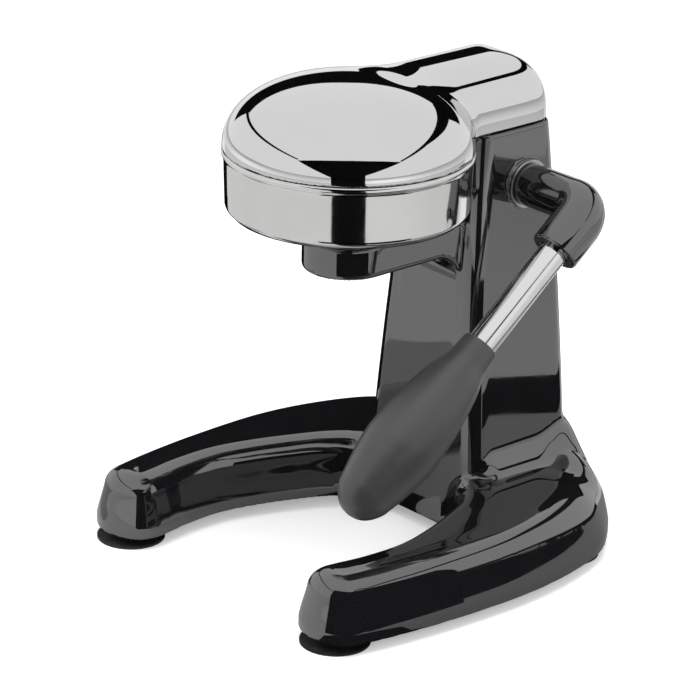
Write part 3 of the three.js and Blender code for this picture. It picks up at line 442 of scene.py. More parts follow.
def stand_field(x, y, z):
    ground = ground_field(x, y, z)
    section = column_distance(x, y, z)
    column = round_cut(section, z - column_top, column_edge)
    rear = smooth(heel_start, heel_full, y)
    cove = blend(cove_beside, cove_behind, rear) * smooth(cove_start, cove_full, y)
    cove = maximum(cove, least_cove)
    outer = round_join(ground, column, cove)
    outer = round_join(outer, arm_field(x, y, z), arm_cove)
    outer = round_cut(outer, casting_bottom - z, lower_edge)
    from_shaft = hypot(y - shaft_y, z - shaft_height)
    pads = round_cut(from_shaft - pad_radius, np.abs(x) - pad_face, pad_edge)
    hollow = minimum(ground + wall, maximum(section + wall, z - column_top + column_lid))
    foot_bosses = np.inf
    for foot_x, foot_y in feet_at:
        from_foot = hypot(np.abs(x) - foot_x, y - foot_y)
        foot_bosses = minimum(foot_bosses, from_foot - foot_boss_radius)
    foot_bosses = maximum(foot_bosses, foot_boss_bottom - z)
    shaft_bosses = maximum(from_shaft - shaft_boss_radius, shaft_boss_inner - np.abs(x))
    bosses = maximum(minimum(foot_bosses, shaft_bosses), outer)
    casting = minimum(maximum(outer, -hollow), bosses)
    casting = minimum(casting, maximum(pads, -section - wall))
    casting = maximum(casting, shaft_bore - from_shaft)
    guide = round_cut(
        np.abs(x) - guide_half_width, np.abs(y - guide_y) - guide_half_depth, guide_corner,
    )
    casting = maximum(casting, -maximum(guide, guide_bottom - z))
    from_axis = hypot(x, y)
    bowl_room = maximum(from_axis - bowl_clearance, bowl_clearance_bottom - z)
    casting = maximum(casting, -bowl_room)
    return maximum(casting, outlet_bore - from_axis)

# %% Stand: draw its skin
stand_low, stand_high, stand_step = (-104, -84.5, 3), (104, 128.5, 205), 1.5
points, faces, normals = skin_of(stand_field, stand_low, stand_high, stand_step)
add_piece(
    "stand_casting_skin", points, faces, "stand", "black_enamel", "stand_casting", normals=normals,
)

# %% [markdown]
# ## The head casting
# The chromed head is a flattened dome over the bowl that runs back into a long cap over the column. Both
# are superellipsoids: rounder than a box, fuller than an ellipsoid. A soft join lets the two crowns flow
# into each other over a broad saddle, where the reflections cross in the photograph.

# %% Head: dome, cap and saddle
dome_radius, dome_height, dome_fullness = 58.7, 32.9, 2.25
cap_half_width, cap_height, cap_fullness = 26.9, 31.8, 2.55
cap_front, cap_full, cap_run_start, cap_run, cap_plan = -24, 24, 80.3, 26.9, 5
saddle_width, least_rise = 6, 0.02
head_bottom = 203.35

def crown_field(x, y, z):
    up = maximum(z - head_bottom, 0)
    dome = (hypot(x, y) / dome_radius) ** dome_fullness + (up / dome_height) ** dome_fullness
    dome = maximum(dome, nearly_zero) ** (1 / dome_fullness)
    dome = np.sqrt(x * x + y * y + up * up) * (1 - 1 / dome)
    rise = maximum(smooth(cap_front, cap_full, y), least_rise)
    behind = maximum(y - cap_run_start, 0)
    plan = ((np.abs(x) / cap_half_width) ** cap_plan + (behind / cap_run) ** cap_plan) ** (1 / cap_plan)
    cap = (plan ** cap_fullness + (up / (cap_height * rise)) ** cap_fullness) ** (1 / cap_fullness)
    cap = maximum(cap, nearly_zero)
    cap = np.sqrt(x * x + behind * behind + up * up) * (1 - 1 / cap)
    return soft_join(dome, maximum(cap, cap_front - y), saddle_width)

# %% Head: its hollow underside with bosses for the rack and the press cup
head_edge, head_wall = 0.6, 2.6
rack_boss_y, rack_boss_half_width, rack_boss_half_depth, rack_boss_lift = 82, 11, 6.5, 2
cup_boss_radius, cup_boss_lift, boss_inset = 8, 25.3, 1

def head_field(x, y, z):
    crown = crown_field(x, y, z)
    outer = round_cut(crown, head_bottom - z, head_edge)
    shell = maximum(outer, -(crown + head_wall))
    rack_boss = maximum(
        np.abs(x) - rack_boss_half_width, np.abs(y - rack_boss_y) - rack_boss_half_depth,
    )
    rack_boss = maximum(rack_boss, head_bottom + rack_boss_lift - z)
    cup_boss = maximum(hypot(x, y) - cup_boss_radius, head_bottom + cup_boss_lift - z)
    return minimum(shell, maximum(minimum(rack_boss, cup_boss), crown + boss_inset))

# %% Head: draw its skin
head_low, head_high, head_step = (-61, -61, 201.5), (61, 109.5, 238.5), 1.1
points, faces, normals = skin_of(head_field, head_low, head_high, head_step)
add_piece("press_head_skin", points, faces, "head", "chrome", "press_head", normals=normals)

# %% [markdown]
# ## Turned pieces
# Bowl, cone, feet, rod and grip are turned or spun on the real press, so each is a profile swept round an
# axis. A lathe in code keeps their radii exact, where a stretched cylinder would not. A profile is a closed
# list of radius and place, and its facets are too narrow to be seen in the gloss.

# %% A lathe for closed profiles
# A profile point on the axis becomes a single point, and `reach_at` can change the radius round the turn.
def arc(centre, radius, start, end, steps):
    turns = np.linspace(radians(start), radians(end), steps + 1)
    return [(centre[0] + radius * cos(t), centre[1] + radius * sin(t)) for t in turns]

def lathe(profile, segments=96, reach_at=None):
    profile = np.array(profile, dtype=float)
    turns = np.arange(segments) * tau / segments
    radius = np.repeat(profile[:, :1], segments, 1)
    if reach_at is not None:
        radius = reach_at(profile[:, :1], turns)
    places = np.stack([
        radius * np.cos(turns), radius * np.sin(turns), np.repeat(profile[:, 1:], segments, 1),
    ], -1)
    on_axis = profile[:, 0] < nearly_zero
    points, first, faces = [], [], []
    for row in range(len(profile)):
        first.append(len(points))
        points.extend(places[row, :1] if on_axis[row] else places[row])
    for below in range(len(profile)):
        above = (below + 1) % len(profile)
        if on_axis[below] and on_axis[above]:
            continue
        for k in range(segments):
            n = (k + 1) % segments
            low = [first[below]] if on_axis[below] else [first[below] + k, first[below] + n]
            high = [first[above]] if on_axis[above] else [first[above] + n, first[above] + k]
            faces.append(low + high)
    return np.array(points), faces

def turned_to(axis, points):
    return points[:, [2, 0, 1] if axis == "x" else [1, 2, 0]]

# %% A helper that turns a profile and adds it as a piece
def add_turned(name, profile, segments, body, slot_name, node, reach_at=None, placed=None, sharp=35):
    points, faces = lathe(profile, segments, reach_at)
    add_piece(name, placed(points) if placed else points, faces, body, slot_name, node, sharp=sharp)

# %% [markdown]
# ## The juice bowl
# The bowl is a deep-drawn steel cup: a nearly straight band with a rolled bead along its rim, a tight turn
# into a shallow funnel, and a spout that drops through the arm. It is spun in code from one closed line
# that runs up the outside and back down the inside.

# %% Juice bowl
bowl_radius, bowl_lower_radius = 57.9, 57.2
bowl_top = rim_height - gap / 2
bowl_bottom = rim_height - 29.6
bowl_floor = arm_top + gap
sheet = 1.2
outlet_radius, outlet_drop, outlet_edge = 11, 12, 0.6
seat_radius, funnel_run, funnel_rise = 18.5, 36, 12.4
turn_radius, turn_steps = 3.2, 8
band_spread, band_height = 0.7, 21.5
bead_height, bead_stand, bead_start, bead_lift, bead_drop = 3.4, 1.15, 0.25, 0.05, 0.35
spout_bore, floor_bore, inner_seat, funnel_thinning = 9.8, 10.4, 17.9, 0.4
bead_middle = bowl_top - bead_height / 2

band = [
    (bowl_lower_radius + band_spread * share, bowl_bottom + turn_radius + band_height * share)
    for share in np.linspace(0, 1, 7)
]
bowl_outside = [
    (outlet_radius, bowl_floor - outlet_drop), (outlet_radius, bowl_floor - outlet_edge),
    (outlet_radius + outlet_edge, bowl_floor), (seat_radius, bowl_floor),
]
bowl_outside += [
    (seat_radius + funnel_run * share, bowl_floor + funnel_rise * share) for share in (0.33, 0.66, 1)
]
turn_centre = (bowl_lower_radius - turn_radius, bowl_bottom + turn_radius)
bowl_outside += arc(turn_centre, turn_radius, -62, 0, turn_steps)[1:]
bowl_outside += band[1:]
bowl_outside += [(bowl_radius + bead_lift, bead_middle - bead_height / 2 - bead_drop)]
bead = [
    (bowl_radius + bead_stand * cos(t), bead_middle + bead_height / 2 * sin(t))
    for t in np.linspace(-pi / 2 + bead_start, pi / 2, 14)
]
inner_band = [(radius - sheet, z) for radius, z in reversed(bowl_outside[7:-1])]
inner_floor = [(radius - funnel_thinning, z + sheet) for radius, z in reversed(bowl_outside[4:7])]
bowl_inside = [(bowl_radius - sheet, bowl_top)] + inner_band + inner_floor
bowl_inside += [
    (inner_seat, bowl_floor + sheet), (floor_bore, bowl_floor + sheet),
    (spout_bore, bowl_floor + outlet_edge), (spout_bore, bowl_floor - outlet_drop),
]
bowl_profile = bowl_outside + bead + bowl_inside
add_turned("juice_bowl_spun", bowl_profile, 144, "stand", "polished_steel", "juice_bowl", sharp=30)

# %% [markdown]
# ## The reaming cone and the press cup
# Both are fluted. A rib is a sine wave on the radius, so one lathe call with a changing radius gives the
# flutes their crests and valleys, which a separate rib on a plain cone would not. They stay hidden at rest
# and come into view when the head is lifted.

# %% Reaming cone
cone_height, cone_radius, cone_sharpness, cone_tip_share = 34, 33, 1.7, 0.998
cone_skirt, cone_hollow_foot, cone_hollow_top, cone_hollow_rise = 4, 27.5, 20, 6
rib_depth, half_ribs = 3.2, 5
cone_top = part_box("reamer_cone")[1][2] / mm
cone_skirt_top = cone_top - cone_height * cone_tip_share
cone_foot = cone_skirt_top - cone_skirt

def rib_reach(radius, turns):
    depth = rib_depth * np.sqrt(maximum(radius, 0) / cone_radius)
    return radius - depth * np.abs(np.sin(turns * half_ribs)) ** 1.15

cone_profile = [(cone_hollow_foot, cone_foot), (cone_radius, cone_foot)]
for share in np.sin(np.linspace(0, pi / 2, 26)) * cone_tip_share:
    radius = cone_radius * (1 - share ** cone_sharpness) ** (1 / cone_sharpness)
    cone_profile.append((radius, cone_skirt_top + cone_height * share))
cone_profile.append((0, cone_top))
hollow_top = cone_skirt_top + cone_hollow_rise
cone_profile += [(0, hollow_top), (cone_hollow_top, hollow_top)]
add_turned(
    "reamer_cone_fluted", cone_profile, 200, "stand", "bright_steel", "reamer_cone", rib_reach, sharp=50,
)

# %% Press cup
cup_radius, cup_wall, cup_fullness = 43, 2.6, 2.2
cup_bottom = head_bottom - 4
cup_height = 29
screw_hole = 2.8
flute_depth, half_flutes = 0.8, 8

def cup_profile(inset):
    profile = []
    for share in np.sin(np.linspace(0, pi / 2, 20)):
        radius = (cup_radius - inset) * (1 - share ** cup_fullness) ** (1 / cup_fullness)
        profile.append((radius, cup_bottom + (cup_height - inset) * share))
    return profile[:-1] + [(screw_hole, cup_bottom + cup_height - inset)]

def flute_reach(radius, turns):
    return radius - flute_depth * radius / cup_radius * np.abs(np.sin(turns * half_flutes))

whole_cup = cup_profile(0) + cup_profile(cup_wall)[::-1]
add_turned(
    "press_cup_fluted", whole_cup, 192, "head", "polished_steel", "press_cup", flute_reach, sharp=50,
)

# %% [markdown]
# ## Feet
# Each foot is a moulded rubber sucker with a thin flared lip. The lip is what shows under the legs, so its
# flare is a quarter of an ellipse that ends in a rounded edge.

# %% Four feet
foot_radius, foot_neck, foot_height, foot_edge = 16.4, 9, 8.6, 0.4
flare_top, flare_drop, lip_height, lip_edge = 5.2, 3.7, 1.2, 0.3
sucker_rim, sucker_roof, sucker_depth, recess_radius, recess_top = 13.4, 12, 1.4, 4.9, 4.2
foot_profile = [
    (screw_hole, foot_height), (foot_neck - foot_edge, foot_height),
    (foot_neck, foot_height - foot_edge), (foot_neck, flare_top),
]
foot_profile += [
    (foot_neck + (foot_radius - foot_neck) * (1 - cos(t)), flare_top - flare_drop * sin(t))
    for t in np.linspace(0, pi / 2, 13)[1:]
]
foot_profile += [
    (foot_radius, lip_height), (foot_radius, lip_edge), (foot_radius - lip_edge, 0), (sucker_rim, 0),
    (sucker_roof, sucker_depth), (recess_radius, sucker_depth), (recess_radius, recess_top),
    (screw_hole, recess_top),
]
for end, (x, y) in zip(("front", "rear"), feet_at):
    for side, mirror in (("left", -1), ("right", 1)):
        foot = "foot_" + end + "_" + side
        place = (mirror * x, y, 0)
        add_turned(
            foot + "_moulded", foot_profile[::-1], 72, "stand", "rubber", foot,
            placed=lambda points: points + place,
        )

# %% [markdown]
# ## The lever
# The shaft's elbow is a cast quarter bend that swells toward the socket of the rod. It is a sweep of circles
# along a bent path, with a rounded edge at the socket's mouth. Rod and grip are turned. The lever is drawn
# with its rod level and then turned down about the shaft.

# %% Turn the lever down
def at_lever(points):
    x, y, z = np.asarray(points, dtype=float).T
    return np.stack([
        x, shaft_y + y * cos(lever_angle) - z * sin(lever_angle),
        shaft_height + y * sin(lever_angle) + z * cos(lever_angle),
    ], 1)

def along_rod(points):
    return at_lever(turned_to("y", points) + (lever_reach, 0, 0))

# %% Elbow
# Each section is a circle given by its place, its turn in the bend and its radius.
washer_thickness = 1.2
elbow_start = pad_face + gap + washer_thickness + gap
elbow_radius, socket_radius, elbow_bend, socket_length = 10.4, 11.9, 11.2, 28.5
shaft_hole, rod_hole, rod_seat, socket_edge, hole_edge = 6.8, 7.3, 8, 1.3, 0.3
elbow_edge, edge_run, edge_fall = 0.8, 0.25, 0.22
swell_start, swell_end = -0.15, 1.1
elbow_steps, elbow_segments = 28, 72

sections = [
    (elbow_start + along, 0, 0, radius) for along, radius in (
        (0, shaft_hole), (0, elbow_radius - elbow_edge), (edge_run, elbow_radius - edge_fall),
        (elbow_edge, elbow_radius),
    )
]
straight = lever_reach - elbow_bend - elbow_start
sections += [(elbow_start + straight * share, 0, 0, elbow_radius) for share in (0.35, 0.65, 0.9)]
for k in range(elbow_steps + 1):
    bend = k / elbow_steps * pi / 2
    radius = blend(elbow_radius, socket_radius, float(smooth(swell_start, swell_end, k / elbow_steps)))
    place = (lever_reach - elbow_bend * (1 - sin(bend)), -elbow_bend * (1 - cos(bend)))
    sections.append((*place, bend, radius))
socket = [(-socket_length * 0.7, socket_radius)]
socket += [
    (-socket_length + socket_edge * (1 - sin(t)), socket_radius - socket_edge * (1 - cos(t)))
    for t in np.linspace(0, pi / 2, 6)
]
socket += [
    (-socket_length, rod_hole + hole_edge), (-socket_length + hole_edge, rod_hole),
    (-socket_length + rod_seat, rod_hole), (-socket_length + rod_seat, 0.01),
]
sections += [(lever_reach, along, pi / 2, radius) for along, radius in socket]

# %% Elbow: sweep its circles
elbow_points = []
for x, y, bend, radius in sections:
    for k in range(elbow_segments):
        around = k / elbow_segments * tau
        side = radius * cos(around)
        elbow_points.append((x + side * sin(bend), y + side * cos(bend), radius * sin(around)))
elbow_faces = []
for row in range(len(sections) - 1):
    for k in range(elbow_segments):
        n = (k + 1) % elbow_segments
        a, b = row * elbow_segments, (row + 1) * elbow_segments
        elbow_faces.append((a + k, a + n, b + n, b + k))
elbow_faces.append(tuple(range(elbow_segments))[::-1])
last = (len(sections) - 1) * elbow_segments
elbow_faces.append(tuple(range(last, last + elbow_segments)))
add_piece(
    "lever_elbow_cast", at_lever(elbow_points), elbow_faces, "lever", "black_enamel", "lever_elbow", sharp=40,
)

# %% Rod
rod_radius, rod_edge, rod_near, rod_far = 7, 0.6, -9.5, -140
rod_profile = [
    (0, rod_far), (rod_radius - rod_edge, rod_far), (rod_radius, rod_far + rod_edge), (rod_radius, -60),
    (rod_radius, rod_near - rod_edge), (rod_radius - rod_edge, rod_near), (0, rod_near),
]
add_turned(
    "lever_rod_turned", rod_profile, 72, "lever", "bright_steel", "lever_rod", placed=along_rod,
)

# %% [markdown]
# ## The grip
# The grip is a soft-touch teardrop moulded on the rod. Its swell is a smooth curve through a few thicknesses
# read along the real one, each a share of the neck's radius, so the belly stays round without a flat.

# %% Grip
grip_start, grip_length, neck_radius, grip_bore, bore_depth = 85.5, 101, 9.1, 7.3, 60
swell_shares = np.array([
    (0, 0.967), (0.01, 1), (0.064, 1.045), (0.114, 1.12), (0.223, 1.49), (0.411, 1.85), (0.589, 1.99),
    (0.688, 1.91), (0.772, 1.75), (0.86, 1.53), (0.906, 1.385), (0.955, 1.03), (0.985, 0.6), (1, 0),
])

def spline_through(points, steps):
    padded = np.concatenate([points[:1], points, points[-1:]])
    curve = []
    for k in range(len(points) - 1):
        a, b, c, d = padded[k:k + 4]
        for share in np.arange(steps) / steps:
            curve.append(0.5 * (
                2 * b + (c - a) * share + (2 * a - 5 * b + 4 * c - d) * share ** 2
                + (3 * b - a - 3 * c + d) * share ** 3
            ))
    return np.array(curve + [points[-1]])

swell = spline_through(swell_shares, 8)
grip_profile = [(grip_bore, -grip_start - 1), (grip_bore + 0.3, -grip_start)]
grip_profile += [
    (neck_radius * max(radius, 0), -grip_start - min(along, 1) * grip_length) for along, radius in swell
]
grip_profile[-1] = (0, -grip_start - grip_length)
grip_profile += [(0, -grip_start - bore_depth), (grip_bore, -grip_start - bore_depth)]
add_turned(
    "lever_grip_moulded", grip_profile[::-1], 96, "lever", "soft_grip", "lever_grip", placed=along_rod,
    sharp=50,
)

# %% [markdown]
# ## Washer and cap
# A thin steel washer keeps the elbow off the enamel, and a domed cap shuts the shaft's bore on the far side.
# Both are turned discs with a softened edge, set on the pads of the column.

# %% Washer on the column and cap over the shaft's blind side
washer_radius, washer_flat, washer_edge = 11.8, 11.4, 0.35
washer_profile = [
    (shaft_hole, 0), (washer_flat, 0), (washer_radius, washer_edge),
    (washer_radius, washer_thickness - washer_edge), (washer_flat, washer_thickness),
    (shaft_hole, washer_thickness),
]
add_turned(
    "column_washer_turned", washer_profile, 72, "stand", "machined_steel", "column_washer",
    placed=lambda points: turned_to("x", points) + (pad_face + gap, shaft_y, shaft_height),
)
cap_radius, cap_edge, cap_face = 12, 1.2, 2.3
cap_profile = [(0, gap), (cap_radius, gap)]
cap_profile += arc((cap_radius - cap_edge, cap_face - cap_edge), cap_edge, 0, 90, 8) + [(0, cap_face)]
add_turned(
    "bore_cap_left_turned", cap_profile[::-1], 72, "stand", "black_enamel", "bore_cap_left",
    placed=lambda points: turned_to("x", points) * (-1, 1, 1) + (-pad_face, shaft_y, shaft_height),
)

# %% [markdown]
# ## Shared effects as node groups
# Real finishes are never one flat value: enamel has a faint orange peel, metal carries hairlines and a film
# from handling, edges are rubbed brighter. Each effect is built once as a shader node group with named
# sockets, and every material places it with its own amounts. The shader and its Bump node stay in the
# material.

# %% Helpers for node trees
# A value is a plain number or the output of another node, and a key such as i6 names a socket by its number.
def feed(tree, socket, value):
    if hasattr(value, "links"):
        tree.links.new(value, socket)
    else:
        socket.default_value = value

def node_in(tree, kind, settings=None, **values):
    node = tree.nodes.new("ShaderNode" + kind)
    for name, value in (settings or {}).items():
        setattr(node, name, value)
    for name, value in values.items():
        numbered = name[0] == "i" and name[1:].isdigit()
        feed(tree, node.inputs[int(name[1:]) if numbered else name.replace("_", " ")], value)
    return node

def joined(tree, operation, a, b):
    return node_in(tree, "Math", {"operation": operation}, i0=a, i1=b).outputs[0]

def ranged(tree, value, low, high, to_low=0.0, to_high=1.0):
    return node_in(
        tree, "MapRange", {"interpolation_type": "SMOOTHSTEP"}, Value=value, From_Min=low, From_Max=high,
        To_Min=to_low, To_Max=to_high,
    ).outputs["Result"]

def object_place(tree):
    return node_in(tree, "TexCoord").outputs["Object"]

def noise_over(tree, **values):
    return node_in(tree, "TexNoise", Vector=object_place(tree), **values).outputs["Fac"]

# %% Helpers that make a group and place it in a material
def effect_group(name, inputs, outputs):
    group = bpy.data.node_groups.new(name, "ShaderNodeTree")
    for label, value in inputs.items():
        kind = "NodeSocketVector" if isinstance(value, tuple) else "NodeSocketFloat"
        group.interface.new_socket(label, in_out="INPUT", socket_type=kind).default_value = value
    for label in outputs:
        group.interface.new_socket(label, in_out="OUTPUT", socket_type="NodeSocketFloat")
    given = group.nodes.new("NodeGroupInput").outputs
    return group, given, group.nodes.new("NodeGroupOutput").inputs

def place_effect(tree, group, **values):
    node = tree.nodes.new("ShaderNodeGroup")
    node.node_tree = group
    for name, value in values.items():
        node.inputs[name.replace("_", " ")].default_value = value
    return node.outputs

# %% Effect: cast ripple and orange peel
ripple_group, given, result = effect_group(
    "cast_ripple", {"Wave Scale": 45.0, "Peel Scale": 700.0, "Peel Share": 0.2}, ["Height"],
)
waves = noise_over(ripple_group, Scale=given["Wave Scale"], Detail=1.0, Roughness=0.4)
peel = noise_over(ripple_group, Scale=given["Peel Scale"], Detail=2.0, Roughness=0.5)
peel_height = joined(ripple_group, "MULTIPLY", peel, given["Peel Share"])
feed(ripple_group, result["Height"], joined(ripple_group, "ADD", waves, peel_height))

# %% Effect: film from handling, as a roughness between two values
film_group, given, result = effect_group(
    "handling_film", {"Scale": 25.0, "Low": 0.05, "High": 0.1}, ["Roughness", "Mask"],
)
broad = noise_over(film_group, Scale=given["Scale"], Detail=5.0, Roughness=0.62, Distortion=0.6)
mask = ranged(film_group, broad, 0.38, 0.66)
feed(film_group, result["Mask"], mask)
spread = joined(film_group, "SUBTRACT", given["High"], given["Low"])
added = joined(film_group, "MULTIPLY", mask, spread)
feed(film_group, result["Roughness"], joined(film_group, "ADD", given["Low"], added))

# %% Effect: hairline scratches in two crossing directions
scratch_group, given, result = effect_group("hairlines", {"Scale": 90.0, "Amount": 0.5}, ["Mask"])
place = object_place(scratch_group)
lines = []
for angles, stretch in (((0.5, 0.9, 0.3), (1, 40, 6)), ((1.7, 0.2, 1.1), (36, 1, 5))):
    drawn_out = node_in(scratch_group, "Mapping", Vector=place, Rotation=angles, Scale=stretch)
    noise = node_in(
        scratch_group, "TexNoise", Vector=drawn_out.outputs[0], Scale=given["Scale"], Detail=1.0,
    )
    lines.append(ranged(scratch_group, noise.outputs["Fac"], 0.7, 0.76))
both = joined(scratch_group, "MAXIMUM", *lines)
feed(scratch_group, result["Mask"], joined(scratch_group, "MULTIPLY", both, given["Amount"]))

# %% Effect: lines left by turning or drawing, stacked along an axis
lines_group, given, result = effect_group(
    "tool_lines", {"Axis": (0.0, 0.0, 1.0), "Scale": 2500.0}, ["Height"],
)
along = node_in(
    lines_group, "VectorMath", {"operation": "DOT_PRODUCT"}, i0=object_place(lines_group), i1=given["Axis"],
)
fine = node_in(
    lines_group, "TexNoise", {"noise_dimensions": "1D"}, W=along.outputs["Value"], Scale=given["Scale"],
    Detail=2.0,
)
feed(lines_group, result["Height"], fine.outputs["Fac"])

# %% Effect: rubbed edges
edge_group, given, result = effect_group(
    "edge_wear", {"Start": 0.53, "End": 0.62, "Amount": 1.0}, ["Mask"],
)
pointed = node_in(edge_group, "NewGeometry").outputs["Pointiness"]
worn = ranged(edge_group, pointed, given["Start"], given["End"])
broken = ranged(edge_group, noise_over(edge_group, Scale=160.0, Detail=4.0), 0.4, 0.6)
patchy = joined(edge_group, "MULTIPLY", worn, broken)
feed(edge_group, result["Mask"], joined(edge_group, "MULTIPLY", patchy, given["Amount"]))

# %% Effect: settled dust on faces that look up
dust_group, given, result = effect_group("settled_dust", {"Amount": 0.05}, ["Mask"])
normal = node_in(dust_group, "NewGeometry").outputs["Normal"]
facing = ranged(dust_group, node_in(dust_group, "SeparateXYZ", i0=normal).outputs["Z"], 0.5, 1.0)
specks = ranged(dust_group, noise_over(dust_group, Scale=420.0, Detail=3.0, Roughness=0.7), 0.5, 0.75)
upward = joined(dust_group, "MULTIPLY", facing, specks)
feed(dust_group, result["Mask"], joined(dust_group, "MULTIPLY", upward, given["Amount"]))
print("effects:", sorted(group.name for group in bpy.data.node_groups))

# %% [markdown]
# ## Finishes
# Every finish is a Principled shader. The groups feed its base colour, roughness and bump, and its metal
# and index of refraction are plain numbers. The enamel's index is high, since thick black enamel mirrors
# more of a room than clear plastic does.

# %% A helper that makes a finish
dust_color, dust_rough = (0.45, 0.44, 0.42, 1), 0.5
finishes = {}

def mixed(tree, share, a, b):
    return node_in(tree, "Mix", {"data_type": "RGBA"}, i0=share, i6=a, i7=b).outputs[2]

def new_material(name):
    made = bpy.data.materials.new(name)
    made.use_nodes = True
    return made, made.node_tree, made.node_tree.nodes["Principled BSDF"]

def finish(
    name, color, worn_color, metallic, ior, film, bump, film_scale=25.0, film_tint=1.08, scratches=0.3,
    scratch_rough=0.12, scratch_depth=0.05, wear=0.3, dust=0.02, wave_scale=45.0, peel_scale=700.0, peel=0.2,
    lines=None,
):
    finishes[name], tree, shader = new_material(name)
    shader.inputs["Metallic"].default_value = metallic
    shader.inputs["IOR"].default_value = ior
    films = place_effect(tree, film_group, Scale=film_scale, Low=film[0], High=film[1])
    scratched = place_effect(tree, scratch_group, Amount=scratches)["Mask"]
    worn = place_effect(tree, edge_group, Amount=wear)["Mask"]
    dusty = place_effect(tree, dust_group, Amount=dust)["Mask"]
    filmed_color = [value * film_tint for value in color]
    surface = mixed(tree, films["Mask"], (*color, 1), (*filmed_color, 1))
    surface = mixed(tree, worn, surface, (*worn_color, 1))
    feed(tree, shader.inputs["Base Color"], mixed(tree, dusty, surface, dust_color))
    rough = joined(tree, "MULTIPLY", scratched, scratch_rough)
    rough = joined(tree, "ADD", films["Roughness"], rough)
    rough = joined(tree, "ADD", rough, joined(tree, "MULTIPLY", dusty, dust_rough))
    feed(tree, shader.inputs["Roughness"], rough)
    height = place_effect(
        tree, ripple_group, Wave_Scale=wave_scale, Peel_Scale=peel_scale, Peel_Share=peel,
    )["Height"]
    height = joined(tree, "SUBTRACT", height, joined(tree, "MULTIPLY", scratched, scratch_depth))
    if lines:
        axis, scale, share = lines
        drawn = place_effect(tree, lines_group, Axis=axis, Scale=scale)["Height"]
        height = joined(tree, "ADD", height, joined(tree, "MULTIPLY", drawn, share))
    relief = node_in(tree, "Bump", Height=height, Distance=bump, Strength=1.0)
    feed(tree, shader.inputs["Normal"], relief.outputs["Normal"])

# %% Finishes of the press
# Each is given by its colour, worn colour, metal, index of refraction, range of roughness and bump height.
upright, sideways = (0.0, 0.0, 1.0), (1.0, 0.0, 0.0)
down_rod = (0.0, -cos(lever_angle), -sin(lever_angle))
finish(
    "black_enamel", (0.007, 0.007, 0.008), (0.05, 0.05, 0.052), 0, 2.25, (0.02, 0.05), 0.00002, peel=0.08,
    wave_scale=38.0, dust=0.015, scratches=0.12, scratch_rough=0.1, wear=0.12,
)
finish(
    "chrome", (0.64, 0.64, 0.645), (0.75, 0.75, 0.75), 1, 1.5, (0.015, 0.04), 0.00001, peel=0.02,
    wave_scale=26.0, scratches=0.15, scratch_rough=0.05, dust=0.01, wear=0.2, film_tint=0.98,
)
finish(
    "polished_steel", (0.66, 0.655, 0.645), (0.8, 0.8, 0.79), 1, 1.5, (0.05, 0.09), 0.000004,
    lines=(upright, 3200.0, 0.5), scratches=0.25, scratch_rough=0.06, film_tint=0.97, wave_scale=20.0,
)
finish(
    "bright_steel", (0.72, 0.72, 0.72), (0.85, 0.85, 0.85), 1, 1.5, (0.09, 0.16), 0.000006,
    lines=(down_rod, 2600.0, 0.6), film_tint=0.96,
)
finish(
    "machined_steel", (0.42, 0.43, 0.44), (0.6, 0.6, 0.6), 1, 1.5, (0.24, 0.36), 0.00002,
    lines=(sideways, 2200.0, 0.8), scratches=0.4, film_tint=0.9,
)
finish(
    "bronze", (0.5, 0.31, 0.13), (0.7, 0.5, 0.28), 1, 1.5, (0.25, 0.4), 0.00003, peel=0.6,
    peel_scale=1500.0, film_tint=0.85,
)
finish(
    "soft_grip", (0.034, 0.034, 0.035), (0.07, 0.07, 0.072), 0, 1.62, (0.34, 0.44), 0.00006, peel=0.8,
    peel_scale=1700.0, scratches=0.15, scratch_depth=0.02, film_scale=40.0,
)
finish(
    "rubber", (0.011, 0.011, 0.012), (0.03, 0.03, 0.03), 0, 1.5, (0.55, 0.75), 0.0001, peel=1.0,
    peel_scale=1100.0, scratches=0.1, dust=0.06,
)
print("finishes:", sorted(finishes))

# %% Give every piece its finish
for part in frame["record"]["subparts"]:
    solid = bpy.data.objects[part["node"]]
    solid.data.materials.clear()
    solid.data.materials.append(finishes[part["material_slot"]])
for piece, slot_name in dressed:
    piece.data.materials.append(finishes[slot_name])
print("dressed skins:", len(dressed))

# %% [markdown]
# ## Table, lamps and white studio
# A product shot on white: a pale table that keeps the press's shadow, three large soft boxes for an even
# light, and a white world behind. The table glows a little for the camera alone, so that it melts into the
# backdrop without washing out the shadow.

# %% A plain paper for the studio
def paper_finish(name, shade, roughness=1, specular=0):
    made, _, shader = new_material(name)
    shader.inputs["Base Color"].default_value = (shade, shade, shade, 1)
    shader.inputs["Roughness"].default_value = roughness
    shader.inputs["Specular IOR Level"].default_value = specular
    return made

# %% Table
table_reach, table_shade, table_glow = 3, 0.88, 0.35
table_mesh = bpy.data.meshes.new("table")
table_corners = [(x * table_reach, y * table_reach, 0) for x, y in ((-1, -1), (1, -1), (1, 1), (-1, 1))]
table_mesh.from_pydata(table_corners, [], [(0, 1, 2, 3)])
table = new_object("table", table_mesh)
paper = paper_finish("white_paper", table_shade, 0.7, 0.5)
tree = paper.node_tree
shader = tree.nodes["Principled BSDF"]
shader.inputs["Emission Color"].default_value = (1, 1, 1, 1)
seen = node_in(tree, "LightPath").outputs["Is Camera Ray"]
feed(tree, shader.inputs["Emission Strength"], joined(tree, "MULTIPLY", seen, table_glow))
table.data.materials.append(paper)
print("the table reaches", table_reach, "m each way")

# %% Soft boxes
def soft_box(name, place, aim, size, power):
    lamp = bpy.data.lights.new(name, "AREA")
    lamp.energy = power
    lamp.shape = "RECTANGLE"
    lamp.size, lamp.size_y = size
    body = new_object(name, lamp)
    body.location = place
    body.rotation_euler = (Vector(aim) - Vector(place)).to_track_quat("-Z", "Y").to_euler()
    body.visible_glossy = False

